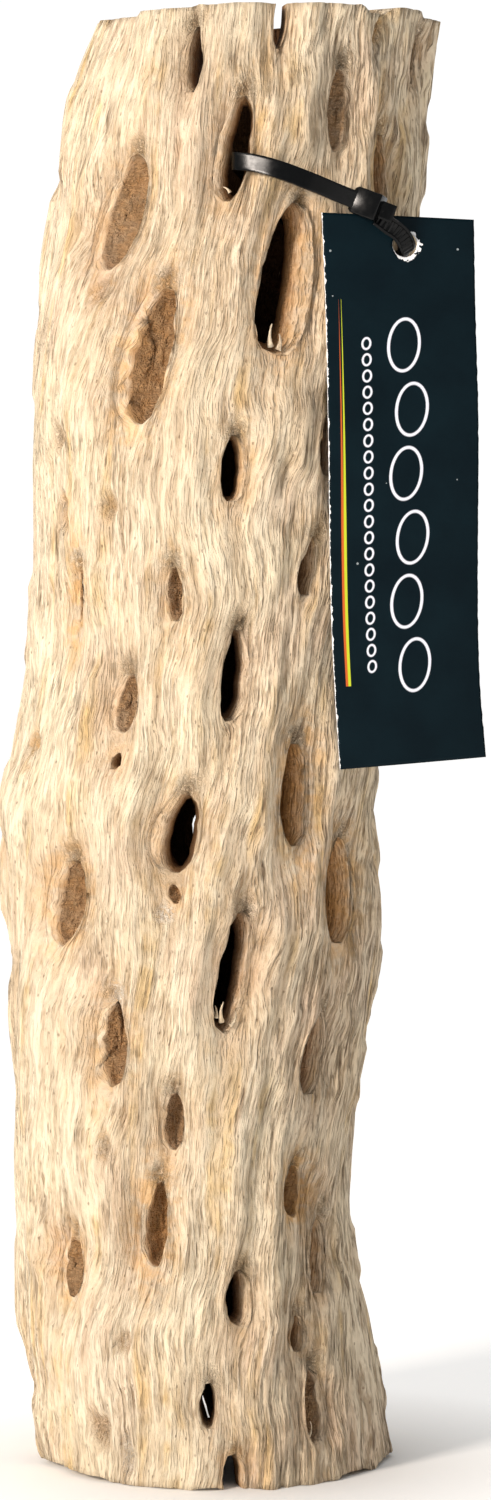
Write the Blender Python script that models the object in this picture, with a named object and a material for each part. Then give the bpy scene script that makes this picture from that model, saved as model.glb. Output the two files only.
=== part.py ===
"""A sawn length of cholla cactus skeleton, with the cable tie and the blank card tag that hang on it.

The skeleton is a hollow wooden tube. Its wood grew round the places where branches and spines sat,
so the wall is a net of strands that part round long holes and close again above and below them.
Metres, +Z up the tube, the cut foot standing on z = 0. The side with the tag faces -Y.
"""

import math
import random
from collections import namedtuple

import bmesh
import bpy
from mathutils import Matrix, Vector, noise
from mathutils.geometry import delaunay_2d_cdt

MM = 0.001

# The sawn tube
LENGTH = 254 * MM
WALL = 8.5 * MM
MEAN_RADIUS = 31 * MM

# Where the left and the right side of the tube run, at these heights
STATIONS = [z * MM for z in (0, 24, 52, 80, 98, 115, 136, 157, 193, 221, 240, 254)]
LEFT_SIDE = [x * MM for x in (-30.5, -33.2, -35.1, -36.2, -36.4, -38.1, -34.2, -32.1, -32.3, -28.0, -25.2, -20.5)]
RIGHT_SIDE = [x * MM for x in (30.8, 26.5, 23.6, 26.3, 28.1, 27.6, 29.8, 31.0, 33.6, 36.0, 37.0, 37.9)]

# A hole: turn round the tube from the front in degrees (+ to the right), height of its middle, width and
# height of its mouth, lean of its top to the right in degrees, depth of its floor (0 goes right through),
# and how far its throat is shifted to the right of its mouth. All but the angles are in millimetres.
Hole = namedtuple("Hole", "turn up wide tall lean floor slant", defaults=(0, 0))
FRONT_HOLES = [
    Hole(-21.5, 244.6, 3.9, 11.6, 3),
    Hole(5.5, 251.7, 2.6, 11.3, 3),
    Hole(-3.5, 229.2, 5.8, 18.0, 10, 0, 1.2),
    Hole(31.0, 236.2, 4.8, 14.7, 2, 2.6),
    Hole(66.0, 246.0, 3.8, 9.0, 8),
    Hole(51.5, 226.0, 5.0, 12.8, -4),
    Hole(50.0, 209.0, 5.4, 13.0, 4),
    Hole(-40.0, 219.1, 8.5, 20.5, 22, 3.4, 0.8),
    Hole(18.5, 207.3, 10.0, 26.0, 8, 0, -1.5),
    Hole(-22.5, 194.4, 7.6, 23.8, 14, 4.0),
    Hole(4.5, 175.0, 3.4, 11.2, 0),
    Hole(36.5, 180.1, 3.8, 12.3, 6),
    Hole(31.0, 158.6, 3.6, 10.2, 12),
    Hole(-12.0, 153.9, 2.8, 9.5, -2, 3.2),
    Hole(8.0, 140.0, 3.7, 15.6, 3),
    Hole(-25.5, 135.1, 4.2, 10.2, 11, 3.0),
    Hole(-26.0, 125.2, 2.8, 2.8, 0),
    Hole(-48.0, 153.5, 2.8, 9.6, 4, 2.2),
    Hole(-3.0, 113.2, 7.0, 14.0, 15, 0, 1.5),
    Hole(-6.0, 102.6, 3.2, 3.4, 0, 3.0, 0.5),
    Hole(34.0, 119.3, 4.9, 17.8, 2),
    Hole(-43.0, 100.5, 9.2, 15.5, 14, 3.2),
    Hole(57.0, 102.1, 8.6, 18.7, 0),
    Hole(14.5, 88.9, 6.3, 21.1, 10, 0, -0.6),
    Hole(-24.5, 76.7, 4.9, 15.4, 0, 3.2),
    Hole(45.0, 73.5, 4.4, 13.8, 11),
    Hole(-3.0, 63.4, 3.2, 10.0, -3, 4.0),
    Hole(-9.5, 45.7, 3.8, 15.4, 4, 4.2),
    Hole(41.0, 51.2, 4.4, 10.0, 0, 4.0),
    Hole(50.0, 38.4, 3.8, 13.6, 6),
    Hole(-46.0, 36.8, 6.4, 10.4, 7, 2.4),
    Hole(15.5, 32.8, 4.3, 9.1, 5),
    Hole(36.0, 25.5, 2.6, 6.2, 0),
    Hole(1.0, 15.6, 2.8, 8.0, 0),
    Hole(37.5, 12.6, 3.6, 13.0, 0, 4.0),
    Hole(5.5, 2.4, 3.5, 8.0, 0),
]

# The holes that the front doesn't show follow the spiral in which a cactus sets its buds
BUD_TURN = 137.508
BUD_RISE = 2.1 * MM
FRONT_VIEW = 80
BEHIND_TAG = (44, 128, 212)
HOLE_GAP = 3.0 * MM
SEED = 7

# A hole narrows to its throat half way through the wall and opens again towards the bore
THROAT = 0.62
INNER_MOUTH = 0.86
PIT_FLOOR = 0.7

# Spacing of the points that carry the surface
OUTER_STEP = 5.4 * MM
INNER_STEP = 8.5 * MM
RING_STEP = 3.5 * MM
SHOULDER = 1.9 * MM

# The cable tie: its band, the box of its head with the way the band runs through it, and the cut end
BAND_WIDTH = 3.0 * MM
BAND_THICKNESS = 1.1 * MM
HEAD_LENGTH, HEAD_DEPTH, HEAD_WIDTH = 4.4 * MM, 4.0 * MM, 4.6 * MM
HEAD_MIDDLE = Vector((25.7, -32.9, 219.6)) * MM
HEAD_WAY = Vector((0.93, 0.05, -0.36)).normalized()
HEAD_ACROSS = Vector((0.36, 0.0, 0.93)).normalized()
CUT_END = 4.6 * MM
BAND_STEPS = 3

# The middle line of the band from the head's foot round to the head, in millimetres, and the direction
# of its width: out of the head, back through the tag and a hole, through the bore and out to the front
BAND_LINE = [
    ((27.2, -32.7, 217.6), (0.74, 0.0, 0.67)),
    ((28.8, -32.3, 216.4), (0.74, 0.0, 0.67)),
    ((30.9, -31.0, 215.0), (0.74, 0.0, 0.67)),
    ((32.1, -29.1, 213.3), (0.80, 0.0, 0.60)),
    ((32.2, -26.8, 211.7), (0.60, 0.0, 0.80)),
    ((30.3, -24.5, 210.5), (0.20, 0.0, 0.98)),
    ((27.75, -22.4, 210.0), (0.0, 0.0, 1.0)),
    ((24.4, -19.6, 209.8), (0.0, 0.0, 1.0)),
    ((20.6, -16.6, 210.9), (0.0, 0.0, 1.0)),
    ((16.2, -14.6, 214.2), (0.0, 0.0, 1.0)),
    ((11.5, -14.8, 219.2), (0.0, 0.0, 1.0)),
    ((7.2, -17.5, 223.8), (0.0, 0.0, 1.0)),
    ((4.5, -21.5, 226.2), (0.0, 0.0, 1.0)),
    ((3.6, -25.0, 226.9), (0.0, 0.0, 1.0)),
    ((3.2, -28.5, 227.1), (0.0, 0.0, 1.0)),
    ((3.1, -31.2, 227.1), (0.0, 0.0, 1.0)),
    ((4.2, -33.0, 226.9), (0.10, 0.0, 0.99)),
    ((6.4, -33.6, 226.5), (0.15, 0.0, 0.98)),
    ((10.7, -33.6, 225.3), (0.25, 0.0, 0.96)),
    ((16.0, -33.5, 223.3), (0.34, 0.0, 0.94)),
    ((21.0, -33.2, 221.3), (0.36, 0.0, 0.93)),
]

# The card tag: where its left and right edges hang at these parts of the way down, and its punched hole
TAG_DOWN = [0.0, 0.16, 0.38, 0.70, 0.86, 1.0]
TAG_LEFT = [x * MM for x in (17.75, 18.4, 18.9, 19.4, 20.1, 21.0)]
TAG_RIGHT = [x * MM for x in (43.7, 44.0, 44.6, 44.6, 45.0, 46.1)]
TAG_TOP = (218.5 * MM, 217.4 * MM)
TAG_FOOT = (123.8 * MM, 125.8 * MM)
TAG_TOP_BACK = (-30.0 * MM, -27.4 * MM)
TAG_FOOT_BACK = (-28.2 * MM, -25.5 * MM)
TAG_BULGE = 0.5 * MM
TAG_COLUMNS, TAG_ROWS = 6, 10
CARD_THICKNESS = 0.5 * MM
CARD_HOLE = 5.0 * MM
CARD_HOLE_AT = Vector((31.9, -29.1, 213.1)) * MM


def smooth_between(stations, values, at):
    """A smooth curve through the values, read at one height."""
    last = len(stations) - 1
    at = min(max(at, stations[0]), stations[last])
    i = max(k for k in range(last) if stations[k] <= at)

    def slope(k):
        a, b = max(k - 1, 0), min(k + 1, last)
        return (values[b] - values[a]) / (stations[b] - stations[a])

    span = stations[i + 1] - stations[i]
    t = (at - stations[i]) / span
    return (
        (2 * t**3 - 3 * t**2 + 1) * values[i]
        + (t**3 - 2 * t**2 + t) * span * slope(i)
        + (3 * t**2 - 2 * t**3) * values[i + 1]
        + (t**3 - t**2) * span * slope(i + 1)
    )


def axis_at(z):
    """The middle of the tube, which bends to the left and back, and a little to and fro."""
    x = (smooth_between(STATIONS, LEFT_SIDE, z) + smooth_between(STATIONS, RIGHT_SIDE, z)) / 2
    y = 1.5 * MM * math.sin(2 * math.pi * z / LENGTH)
    return x, y


def radius_at(z):
    return (smooth_between(STATIONS, RIGHT_SIDE, z) - smooth_between(STATIONS, LEFT_SIDE, z)) / 2


def off_hole(hole, turn, z):
    """How far a place on the surface is from a hole's middle, across it and along it."""
    around = (turn - math.radians(hole.turn) + math.pi) % (2 * math.pi) - math.pi
    s, up = around * MEAN_RADIUS, z - hole.up * MM
    lean = math.radians(hole.lean)
    return s * math.cos(lean) - up * math.sin(lean), s * math.sin(lean) + up * math.cos(lean)


def on_hole(hole, across, along):
    """The place on the surface that lies this far across and along from a hole's middle."""
    lean = math.radians(hole.lean)
    s = across * math.cos(lean) + along * math.sin(lean)
    up = -across * math.sin(lean) + along * math.cos(lean)
    return math.radians(hole.turn) + s / MEAN_RADIUS, hole.up * MM + up


def reach(hole, turn, z, margin=0.0):
    """1 on the edge of a hole's mouth, widened by a margin; less inside it and more outside."""
    across, along = off_hole(hole, turn, z)
    return math.hypot(across / (hole.wide * MM / 2 + margin), along / (hole.tall * MM / 2 + margin))


def mouth(hole, margin=0.0, points=None):
    """Points round a hole's mouth, which is a long ellipse with slightly pointed ends."""
    a, b = hole.wide * MM / 2 + margin, hole.tall * MM / 2 + margin
    if points is None:
        points = 2 * max(4, round(math.pi * (a + b) / RING_STEP / 2))
    outline = []
    for k in range(points):
        u = -2 * math.pi * k / points
        outline.append(on_hole(hole, a * math.cos(u) * (1 - 0.18 * math.sin(u) ** 2), b * math.sin(u)))
    return outline


def crowded(hole, others):
    """True if a hole would cut into the strand of wood round another hole."""
    for other in others:
        if any(reach(other, turn, z, HOLE_GAP) < 1 for turn, z in mouth(hole)):
            return True
        if reach(hole, math.radians(other.turn), other.up * MM, HOLE_GAP) < 1:
            return True
    return False


def spiral_holes(rng):
    """The holes of the back, the sides and behind the tag, set one after another up the bud spiral."""
    holes = []
    low, high = BEHIND_TAG[1], BEHIND_TAG[2]
    for bud in range(int(LENGTH / BUD_RISE) + 1):
        turn = (bud * BUD_TURN + rng.uniform(-5, 5) + 180) % 360 - 180
        up = bud * BUD_RISE / MM + rng.uniform(-3, 3)
        wide, tall = rng.uniform(2.8, 6.2), rng.uniform(9, 19)
        lean = rng.gauss(6, 5)
        floor = 0 if rng.random() < 0.6 else rng.uniform(2.6, 4.2)
        hidden = turn > BEHIND_TAG[0] and low < up < high
        if abs(turn) < FRONT_VIEW and not hidden:
            continue
        if floor and not tall / 2 + 2 < up < LENGTH / MM - tall / 2 - 2:
            floor = 0
        for shrink in (1, 0.75, 0.55):
            hole = Hole(turn, up, wide * shrink, tall * shrink, lean, floor)
            if not crowded(hole, FRONT_HOLES + holes):
                holes.append(hole)
                break
    return holes


HOLES = FRONT_HOLES + spiral_holes(random.Random(SEED))
THROUGH = [hole for hole in HOLES if not hole.floor]
PITS = [hole for hole in HOLES if hole.floor]


def dip(turn, z):
    """How far the surface sinks towards the holes near a place."""
    total = 0.0
    for hole in HOLES:
        across, along = off_hole(hole, turn, z)
        near = (across / (hole.wide * MM / 2 + 1.3 * MM)) ** 2 + (along / (hole.tall * MM * 0.42 + 2 * MM)) ** 2
        if near < 16:
            depth = (0.7 + 0.16 * hole.wide) * MM
            total += depth * math.exp(-near / 2)
    return min(total, 2.4 * MM)


def outer_radius(turn, z):
    lumps = noise.noise((1.6 * math.sin(turn), 1.6 * math.cos(turn), z / (38 * MM)))
    knots = noise.noise((4.5 * math.sin(turn), 4.5 * math.cos(turn), z / (21 * MM) + 9))
    return radius_at(z) + 1.1 * MM * lumps + 0.6 * MM * knots + 0.5 * MM - dip(turn, z)


def inner_radius(turn, z):
    waves = noise.noise((3.0 * math.sin(turn), 3.0 * math.cos(turn), z / (30 * MM) + 40))
    return radius_at(z) - WALL + 0.9 * MM * waves


def place(turn, z, depth):
    """A point of the wood: depth 0 is the outer skin and depth 1 the wall of the bore."""
    x, y = axis_at(z)
    r = (1 - depth) * outer_radius(turn, z) + depth * inner_radius(turn, z)
    return Vector((x + r * math.sin(turn), y - r * math.cos(turn), z))


def narrowed(turn, z, scale, share):
    """Moves a point on a hole's edge towards the hole's middle, as the hole narrows inside the wall."""
    hole = min(THROUGH, key=lambda h: reach(h, turn, z))
    if reach(hole, turn, z) > 1.03:
        return turn, z
    across, along = off_hole(hole, turn, z)
    slimmer = on_hole(hole, across * scale + hole.slant * MM * share, along * (0.5 + scale / 2))
    return slimmer[0], z if z in (0.0, LENGTH) else min(max(slimmer[1], 0.6 * MM), LENGTH - 0.6 * MM)


def spread(step):
    """Staggered rows of points over the whole surface, clear of the holes and of the two ends."""
    points = []
    rows = round(LENGTH / (step * 0.87))
    per_row = round(2 * math.pi * MEAN_RADIUS / step)
    for row in range(1, rows):
        z = LENGTH * row / rows
        for k in range(per_row):
            turn = 2 * math.pi * (k + row % 2 / 2) / per_row - math.pi
            points.append((turn, z))
    return points


def skin(rims, loops, points):
    """Triangles between two rims, round closed loops, through points. All of them are (turn, z) places.

    The tube's surface is laid flat as rings round a centre, so that it closes on itself with no seam."""
    flat, edges, faces = [], [], []
    for loop in rims + loops:
        first = len(flat)
        flat.extend(loop)
        ring = list(range(first, len(flat)))
        faces.append(ring)
        edges.extend(zip(ring, ring[1:] + ring[:1]))
    flat.extend(points)

    def lay(turn, z):
        out = math.exp((z - LENGTH / 2) / MEAN_RADIUS)
        return Vector((out * math.cos(turn), out * math.sin(turn)))

    # The upper rim is the outline of everything, so only the lower rim and the holes are left out
    upper = 1
    spots, _, triangles, given, _, inside = delaunay_2d_cdt([lay(*p) for p in flat], edges, faces, 0, 1e-8)
    kept = [tri for tri, owners in zip(triangles, inside) if list(owners) == [upper]]
    places, names = [], []
    for spot, sources in zip(spots, given):
        turn = math.atan2(spot.y, spot.x)
        z = end(LENGTH / 2 + MEAN_RADIUS * math.log(spot.length))
        places.append((turn, z))
        names.append(min(sources) if sources else ("cut", round(turn, 3), z))
    return places, kept, names


def end(z):
    """Puts a height that lies on a sawn end exactly there."""
    for level in (0.0, LENGTH):
        if abs(z - level) < 0.05 * MM:
            return level
    return min(max(z, 0.0), LENGTH)


def open_edges(triangles):
    """The edges that have a triangle on one side only, in that triangle's direction."""
    once = {}
    for a, b, c in triangles:
        for pair in ((a, b), (b, c), (c, a)):
            if pair[::-1] in once:
                del once[pair[::-1]]
            else:
                once[pair] = True
    return list(once)


def rim(z):
    count = round(2 * math.pi * MEAN_RADIUS / OUTER_STEP)
    return [(2 * math.pi * (k + 0.25) / count - math.pi, z) for k in range(count)]


def cholla_skeleton():
    """The wooden tube: an outer skin and a bore, joined at the sawn ends and through every hole."""
    rims = [rim(0.0), rim(LENGTH)]
    shoulders = [
        point
        for hole in HOLES
        if hole.tall > 7
        for point in mouth(hole, SHOULDER, len(mouth(hole)))
        if all(other == hole or reach(other, *point, 1.4 * MM) > 1 for other in HOLES)
    ]
    fields = [p for p in spread(OUTER_STEP) if all(reach(h, *p, SHOULDER + 1.7 * MM) > 1 for h in HOLES)]
    outside = [p for p in shoulders + fields if 2 * MM < p[1] < LENGTH - 2 * MM]
    loops = [mouth(hole) for hole in THROUGH + PITS]
    outer_places, outer_faces, outer_names = skin(rims, loops, outside)

    inside = [
        p for p in spread(INNER_STEP)
        if 3 * MM < p[1] < LENGTH - 3 * MM and all(reach(h, *p, 2.4 * MM) > 1 for h in THROUGH)
    ]
    inner_places, inner_faces, inner_names = skin(rims, loops[: len(THROUGH)], inside)

    bm = bmesh.new()
    outer = [bm.verts.new(place(turn, z, 0)) for turn, z in outer_places]
    inner = [bm.verts.new(place(*narrowed(turn, z, INNER_MOUTH, 1), 1)) for turn, z in inner_places]
    bore = dict(zip(inner_names, inner))
    for a, b, c in outer_faces:
        bm.faces.new((outer[a], outer[b], outer[c]))
    for a, b, c in inner_faces:
        bm.faces.new((inner[c], inner[b], inner[a]))

    # Points are named by their order: the two rims, the holes that go through, then the blind ones
    first = sum(map(len, rims + loops[: len(THROUGH)]))
    owner = {}
    for pit, loop in zip(PITS, loops[len(THROUGH) :]):
        owner.update((first + k, pit) for k in range(len(loop)))
        first += len(loop)

    throat, pit_edges = {}, {pit: [] for pit in PITS}
    for a, b in open_edges(outer_faces):
        names = outer_names[a], outer_names[b]
        if names[0] in owner:
            pit_edges[owner[names[0]]].append((outer[a], outer[b]))
            continue
        for name, index in zip(names, (a, b)):
            if name not in throat:
                throat[name] = bm.verts.new(place(*narrowed(*outer_places[index], THROAT, 0.6), 0.5))
        middle = [throat[name] for name in names]
        bm.faces.new((outer[b], outer[a], middle[0], middle[1]))
        bm.faces.new((middle[1], middle[0], bore[names[0]], bore[names[1]]))

    for pit, ring in pit_edges.items():
        sink(bm, pit, ring)
    loose = [vert for vert in bm.verts if not vert.link_faces]
    bmesh.ops.delete(bm, geom=loose, context="VERTS")
    bmesh.ops.triangulate(bm, faces=[face for face in bm.faces if len(face.verts) > 3])
    bmesh.ops.recalc_face_normals(bm, faces=bm.faces)
    return finish(bm, "cholla_skeleton", "cholla_wood")


def sink(bm, pit, ring):
    """Closes a blind hole with sloping sides and a floor of brown pith."""
    shift = pit.slant * MM

    def floor_place(across, along, fall):
        turn, z = on_hole(pit, across + shift, along)
        x, y = axis_at(z)
        r = outer_radius(turn, z) - fall
        return bm.verts.new((x + r * math.sin(turn), y - r * math.cos(turn), z))

    bottom = {}
    for pair in ring:
        for vert in pair:
            if vert not in bottom:
                x, y = axis_at(vert.co.z)
                turn = math.atan2(vert.co.x - x, -(vert.co.y - y))
                across, along = off_hole(pit, turn, vert.co.z)
                bottom[vert] = floor_place(across * PIT_FLOOR, along * (0.25 + 0.75 * PIT_FLOOR), pit.floor * MM)
    middle = floor_place(0, 0, pit.floor * MM * 1.15)
    for a, b in ring:
        bm.faces.new((b, a, bottom[a], bottom[b]))
        bm.faces.new((bottom[b], bottom[a], middle))


def curve_point(a, b, c, d, t):
    """A smooth curve from b to c that also heeds the points before and after."""
    return 0.5 * (2 * b + (c - a) * t + (2 * a - 5 * b + 4 * c - d) * t**2 + (3 * b - a - 3 * c + d) * t**3)


def cable_tie():
    """The nylon tie: one flat band from the foot of its head round and back through the head."""
    tip = HEAD_MIDDLE + HEAD_WAY * CUT_END
    line = [Vector(p) * MM for p, _ in BAND_LINE] + [HEAD_MIDDLE, tip]
    widths = [Vector(w) for _, w in BAND_LINE] + [HEAD_ACROSS, HEAD_ACROSS]
    points, across = [], []
    for i in range(len(line) - 1):
        four = [min(max(k, 0), len(line) - 1) for k in range(i - 1, i + 3)]
        for step in range(BAND_STEPS):
            t = step / BAND_STEPS
            points.append(curve_point(*(line[k] for k in four), t))
            across.append(widths[i].lerp(widths[i + 1], t))
    points.append(tip)
    across.append(HEAD_ACROSS)

    bm = bmesh.new()
    rings = []
    for i, (point, width) in enumerate(zip(points, across)):
        way = (points[min(i + 1, len(points) - 1)] - points[max(i - 1, 0)]).normalized()
        width = (width - way * width.dot(way)).normalized() * BAND_WIDTH / 2
        thick = way.cross(width).normalized() * BAND_THICKNESS / 2
        corners = (width + thick, width - thick, -width - thick, -width + thick)
        rings.append([bm.verts.new(point + corner) for corner in corners])
    for a, b in zip(rings, rings[1:]):
        for k in range(4):
            bm.faces.new((a[k], a[(k + 1) % 4], b[(k + 1) % 4], b[k]))
    bm.faces.new(rings[0])
    bm.faces.new(rings[-1][::-1])
    bmesh.ops.recalc_face_normals(bm, faces=bm.faces)
    band = finish(bm, "cable_tie", "black_nylon")

    bm = bmesh.new()
    back = HEAD_WAY.cross(HEAD_ACROSS).normalized()
    turned = Matrix((HEAD_WAY, back, HEAD_ACROSS)).transposed().to_4x4()
    sizes = Matrix.Diagonal((HEAD_LENGTH, HEAD_DEPTH, HEAD_WIDTH, 1))
    bmesh.ops.create_cube(bm, size=1, matrix=Matrix.Translation(HEAD_MIDDLE) @ turned @ sizes)
    combine(band, finish(bm, "tie_head", "black_nylon"), "UNION")
    return band


def hang_tag():
    """The card tag: a thin sheet that hangs a little bent, with a punched hole near its top."""
    bm = bmesh.new()

    def between(pair, t):
        return pair[0] * (1 - t) + pair[1] * t

    def at(u, v):
        x = between((smooth_between(TAG_DOWN, TAG_LEFT, v), smooth_between(TAG_DOWN, TAG_RIGHT, v)), u)
        y = between((between(TAG_TOP_BACK, u), between(TAG_FOOT_BACK, u)), v) - TAG_BULGE * 4 * u * (1 - u)
        return Vector((x, y, between((between(TAG_TOP, u), between(TAG_FOOT, u)), v)))

    sheet = [
        [bm.verts.new(at(column / TAG_COLUMNS, row / TAG_ROWS)) for column in range(TAG_COLUMNS + 1)]
        for row in range(TAG_ROWS + 1)
    ]
    for upper, lower in zip(sheet, sheet[1:]):
        for k in range(TAG_COLUMNS):
            bm.faces.new((upper[k], lower[k], lower[k + 1], upper[k + 1]))
    bm.normal_update()
    bmesh.ops.solidify(bm, geom=bm.faces[:], thickness=CARD_THICKNESS)
    bmesh.ops.recalc_face_normals(bm, faces=bm.faces)
    tag = finish(bm, "hang_tag", "black_card")

    bm = bmesh.new()
    punch = Matrix.Translation(CARD_HOLE_AT) @ Matrix.Rotation(math.pi / 2, 4, "X")
    radius = CARD_HOLE / 2
    bmesh.ops.create_cone(
        bm, cap_ends=True, segments=24, radius1=radius, radius2=radius, depth=CARD_HOLE, matrix=punch
    )
    combine(tag, finish(bm, "punch", "black_card"), "DIFFERENCE")
    return tag


def combine(piece, tool, operation):
    """Adds a tool shape to a piece, or cuts it out, and takes the tool away."""
    boolean = piece.modifiers.new(operation.lower(), "BOOLEAN")
    boolean.object = tool
    boolean.operation = operation
    boolean.solver = "EXACT"
    bpy.context.view_layer.update()
    shaped = bpy.data.meshes.new_from_object(piece.evaluated_get(bpy.context.evaluated_depsgraph_get()))
    piece.modifiers.clear()
    piece.data = shaped
    bpy.data.objects.remove(tool)


def finish(bm, name, material):
    """Makes one named object of a shape."""
    mesh = bpy.data.meshes.new(name)
    bm.to_mesh(mesh)
    bm.free()
    mesh.materials.append(bpy.data.materials[material])
    piece = bpy.data.objects.new(name, mesh)
    bpy.context.collection.objects.link(piece)
    return piece


def material(name, colour, roughness):
    made = bpy.data.materials.new(name)
    made.use_nodes = True
    shader = made.node_tree.nodes["Principled BSDF"]
    shader.inputs["Base Color"].default_value = (*colour, 1)
    shader.inputs["Roughness"].default_value = roughness


def centre(pieces):
    """Moves all pieces together, so that the middle of their box stands over the origin."""
    corners = [vert.co for piece in pieces for vert in piece.data.vertices]
    middle = [(min(c[i] for c in corners) + max(c[i] for c in corners)) / 2 for i in range(2)]
    foot = min(c.z for c in corners)
    for piece in pieces:
        piece.data.transform(Matrix.Translation((-middle[0], -middle[1], -foot)))


def main():
    for old in list(bpy.data.objects):
        bpy.data.objects.remove(old)
    material("cholla_wood", (0.63, 0.48, 0.32), 0.8)
    material("black_nylon", (0.01, 0.01, 0.012), 0.3)
    material("black_card", (0.012, 0.016, 0.02), 0.5)
    centre([cholla_skeleton(), cable_tie(), hang_tag()])


main()
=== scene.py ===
# %% [markdown]
# # A cholla cactus skeleton with its tie and tag
#
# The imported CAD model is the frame: a hollow wooden tube with long holes, a cable tie and a card tag.
# This script dresses it. The wood gets its grain, its strands and its worn holes, the tie its rounded
# edges and teeth, and the tag its paper core and print.

import math
import random
from collections import namedtuple

import bmesh
import bpy
import numpy as np
from mathutils import Matrix, Vector, noise


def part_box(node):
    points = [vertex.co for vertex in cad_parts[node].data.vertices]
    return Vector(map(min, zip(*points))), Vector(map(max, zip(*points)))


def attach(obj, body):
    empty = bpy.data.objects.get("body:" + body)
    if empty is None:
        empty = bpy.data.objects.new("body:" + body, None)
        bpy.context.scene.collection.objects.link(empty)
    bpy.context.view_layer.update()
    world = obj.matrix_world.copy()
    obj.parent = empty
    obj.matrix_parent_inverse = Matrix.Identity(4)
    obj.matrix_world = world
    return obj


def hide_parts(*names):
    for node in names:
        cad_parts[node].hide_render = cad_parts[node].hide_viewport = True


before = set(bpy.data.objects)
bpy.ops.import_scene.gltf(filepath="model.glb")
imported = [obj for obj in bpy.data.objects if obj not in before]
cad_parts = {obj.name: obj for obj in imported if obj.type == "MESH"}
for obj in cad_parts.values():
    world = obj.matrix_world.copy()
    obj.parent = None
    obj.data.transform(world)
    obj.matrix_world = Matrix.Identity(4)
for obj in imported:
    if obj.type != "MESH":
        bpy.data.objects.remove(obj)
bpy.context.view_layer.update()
MM = 0.001

# %% [markdown]
# ## Camera
#
# The photograph was taken from about 0.9 m, a little above the middle, so the lower rim curves down
# more than the upper one. The camera looks along +Y and is tipped down by a few degrees.

# %% Camera
EYE = Vector((0.8, -876.0, 175.0)) * MM
LOOKS_AT = Vector((0.8, 0.0, 125.6)) * MM
SEEN_HEIGHT = 264.6 * MM

camera = bpy.data.objects.new("camera", bpy.data.cameras.new("camera"))
bpy.context.scene.collection.objects.link(camera)
camera.location = EYE
camera.rotation_euler = (LOOKS_AT - EYE).to_track_quat("-Z", "Y").to_euler()
camera.data.sensor_fit = "VERTICAL"
camera.data.lens = camera.data.sensor_height * (LOOKS_AT - EYE).length / SEEN_HEIGHT
camera.data.clip_start = 0.05
bpy.context.scene.camera = camera
print("lens", round(camera.data.lens, 1), "mm")

# %% [markdown]
# ## Studio
#
# A white room: a pale light table as floor, and a sky that is white behind the object and dimmer behind
# the camera and at the right, as with a white backdrop and a dark screen. The key light stands at the left
# in front and makes that side of the wood nearly white. The right side gets little more than the room's.

# %% Colour and node helpers


def colour(code, alpha=1.0):
    """A linear colour from an sRGB hex code."""
    parts = [int(code[i : i + 2], 16) / 255 for i in (1, 3, 5)]
    return (*(c / 12.92 if c <= 0.04045 else ((c + 0.055) / 1.055) ** 2.4 for c in parts), alpha)


def add(tree, kind, inputs=None, out=0, **settings):
    """Adds a node with its settings, links or sets its inputs by name or number, and returns an output."""
    made = tree.nodes.new(kind)
    for name, value in settings.items():
        setattr(made, name, value)
    for name, value in (inputs or {}).items():
        socket = made.inputs[name]
        if isinstance(value, bpy.types.NodeSocket):
            tree.links.new(value, socket)
        else:
            socket.default_value = value
    return made.outputs[out] if made.outputs else made


def new_material(name, **settings):
    """A material with a Principled shader and the settings of its own sockets."""
    made = bpy.data.materials.new(name)
    made.use_nodes = True
    shader = made.node_tree.nodes["Principled BSDF"]
    for socket, value in settings.items():
        shader.inputs[socket.replace("_", " ")].default_value = value
    return made, made.node_tree, shader


def new_object(name, mesh):
    """An object at the origin, in the scene."""
    made = bpy.data.objects.new(name, mesh)
    bpy.context.scene.collection.objects.link(made)
    return made


# %% Floor and lights
FLOOR_SIZE = 6.0

floor_mesh = bpy.data.meshes.new("floor")
bm = bmesh.new()
bmesh.ops.create_grid(bm, x_segments=1, y_segments=1, size=FLOOR_SIZE / 2)
bm.to_mesh(floor_mesh)
bm.free()
floor = new_object("floor", floor_mesh)
# A light table's opal acrylic: matt, white, with a little light coming through from below. Round the wood's foot the
# glow fades out, which paints a soft contact shadow.
opal, tree, shader = new_material(
    "opal_acrylic_table", Base_Color=colour("#F6F5F3"), Roughness=0.9, Emission_Color=colour("#FFFFFF")
)
spot = add(tree, "ShaderNodeVectorMath", {0: add(tree, "ShaderNodeTexCoord", out="Object")}, out="Value", operation="LENGTH")
# No glow within 25 mm of the middle, full glow from 70 mm: a painted contact shadow round the foot
glow_and_painted_shadow = add(tree, "ShaderNodeMapRange", {"Value": spot, "From Min": 0.025, "From Max": 0.07, "To Max": 0.31})
far = add(tree, "ShaderNodeMapRange", {"Value": spot, "From Min": 0.10, "From Max": 1.20, "To Max": 0.14})
glow_and_painted_shadow = add(tree, "ShaderNodeMath", {0: glow_and_painted_shadow, 1: far}, operation="ADD")
tree.links.new(glow_and_painted_shadow, shader.inputs["Emission Strength"])
floor_mesh.materials.append(opal)


def area_light(name, place, size, power, tint):
    """A soft square light that looks at the middle of the wood."""
    lamp = bpy.data.lights.new(name, "AREA")
    lamp.size = size
    lamp.energy = power
    lamp.color = colour(tint)[:3]
    made = new_object(name, lamp)
    made.location = place
    made.rotation_euler = (Vector((0, 0, 0.127)) - Vector(place)).to_track_quat("-Z", "Y").to_euler()
    return made


area_light("key", (-0.90, -0.96, 0.62), 0.25, 17.5, "#FFF3E8")
area_light("fill", (0.7, -1.3, 0.30), 0.8, 0.9, "#FFF4EA")

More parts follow.
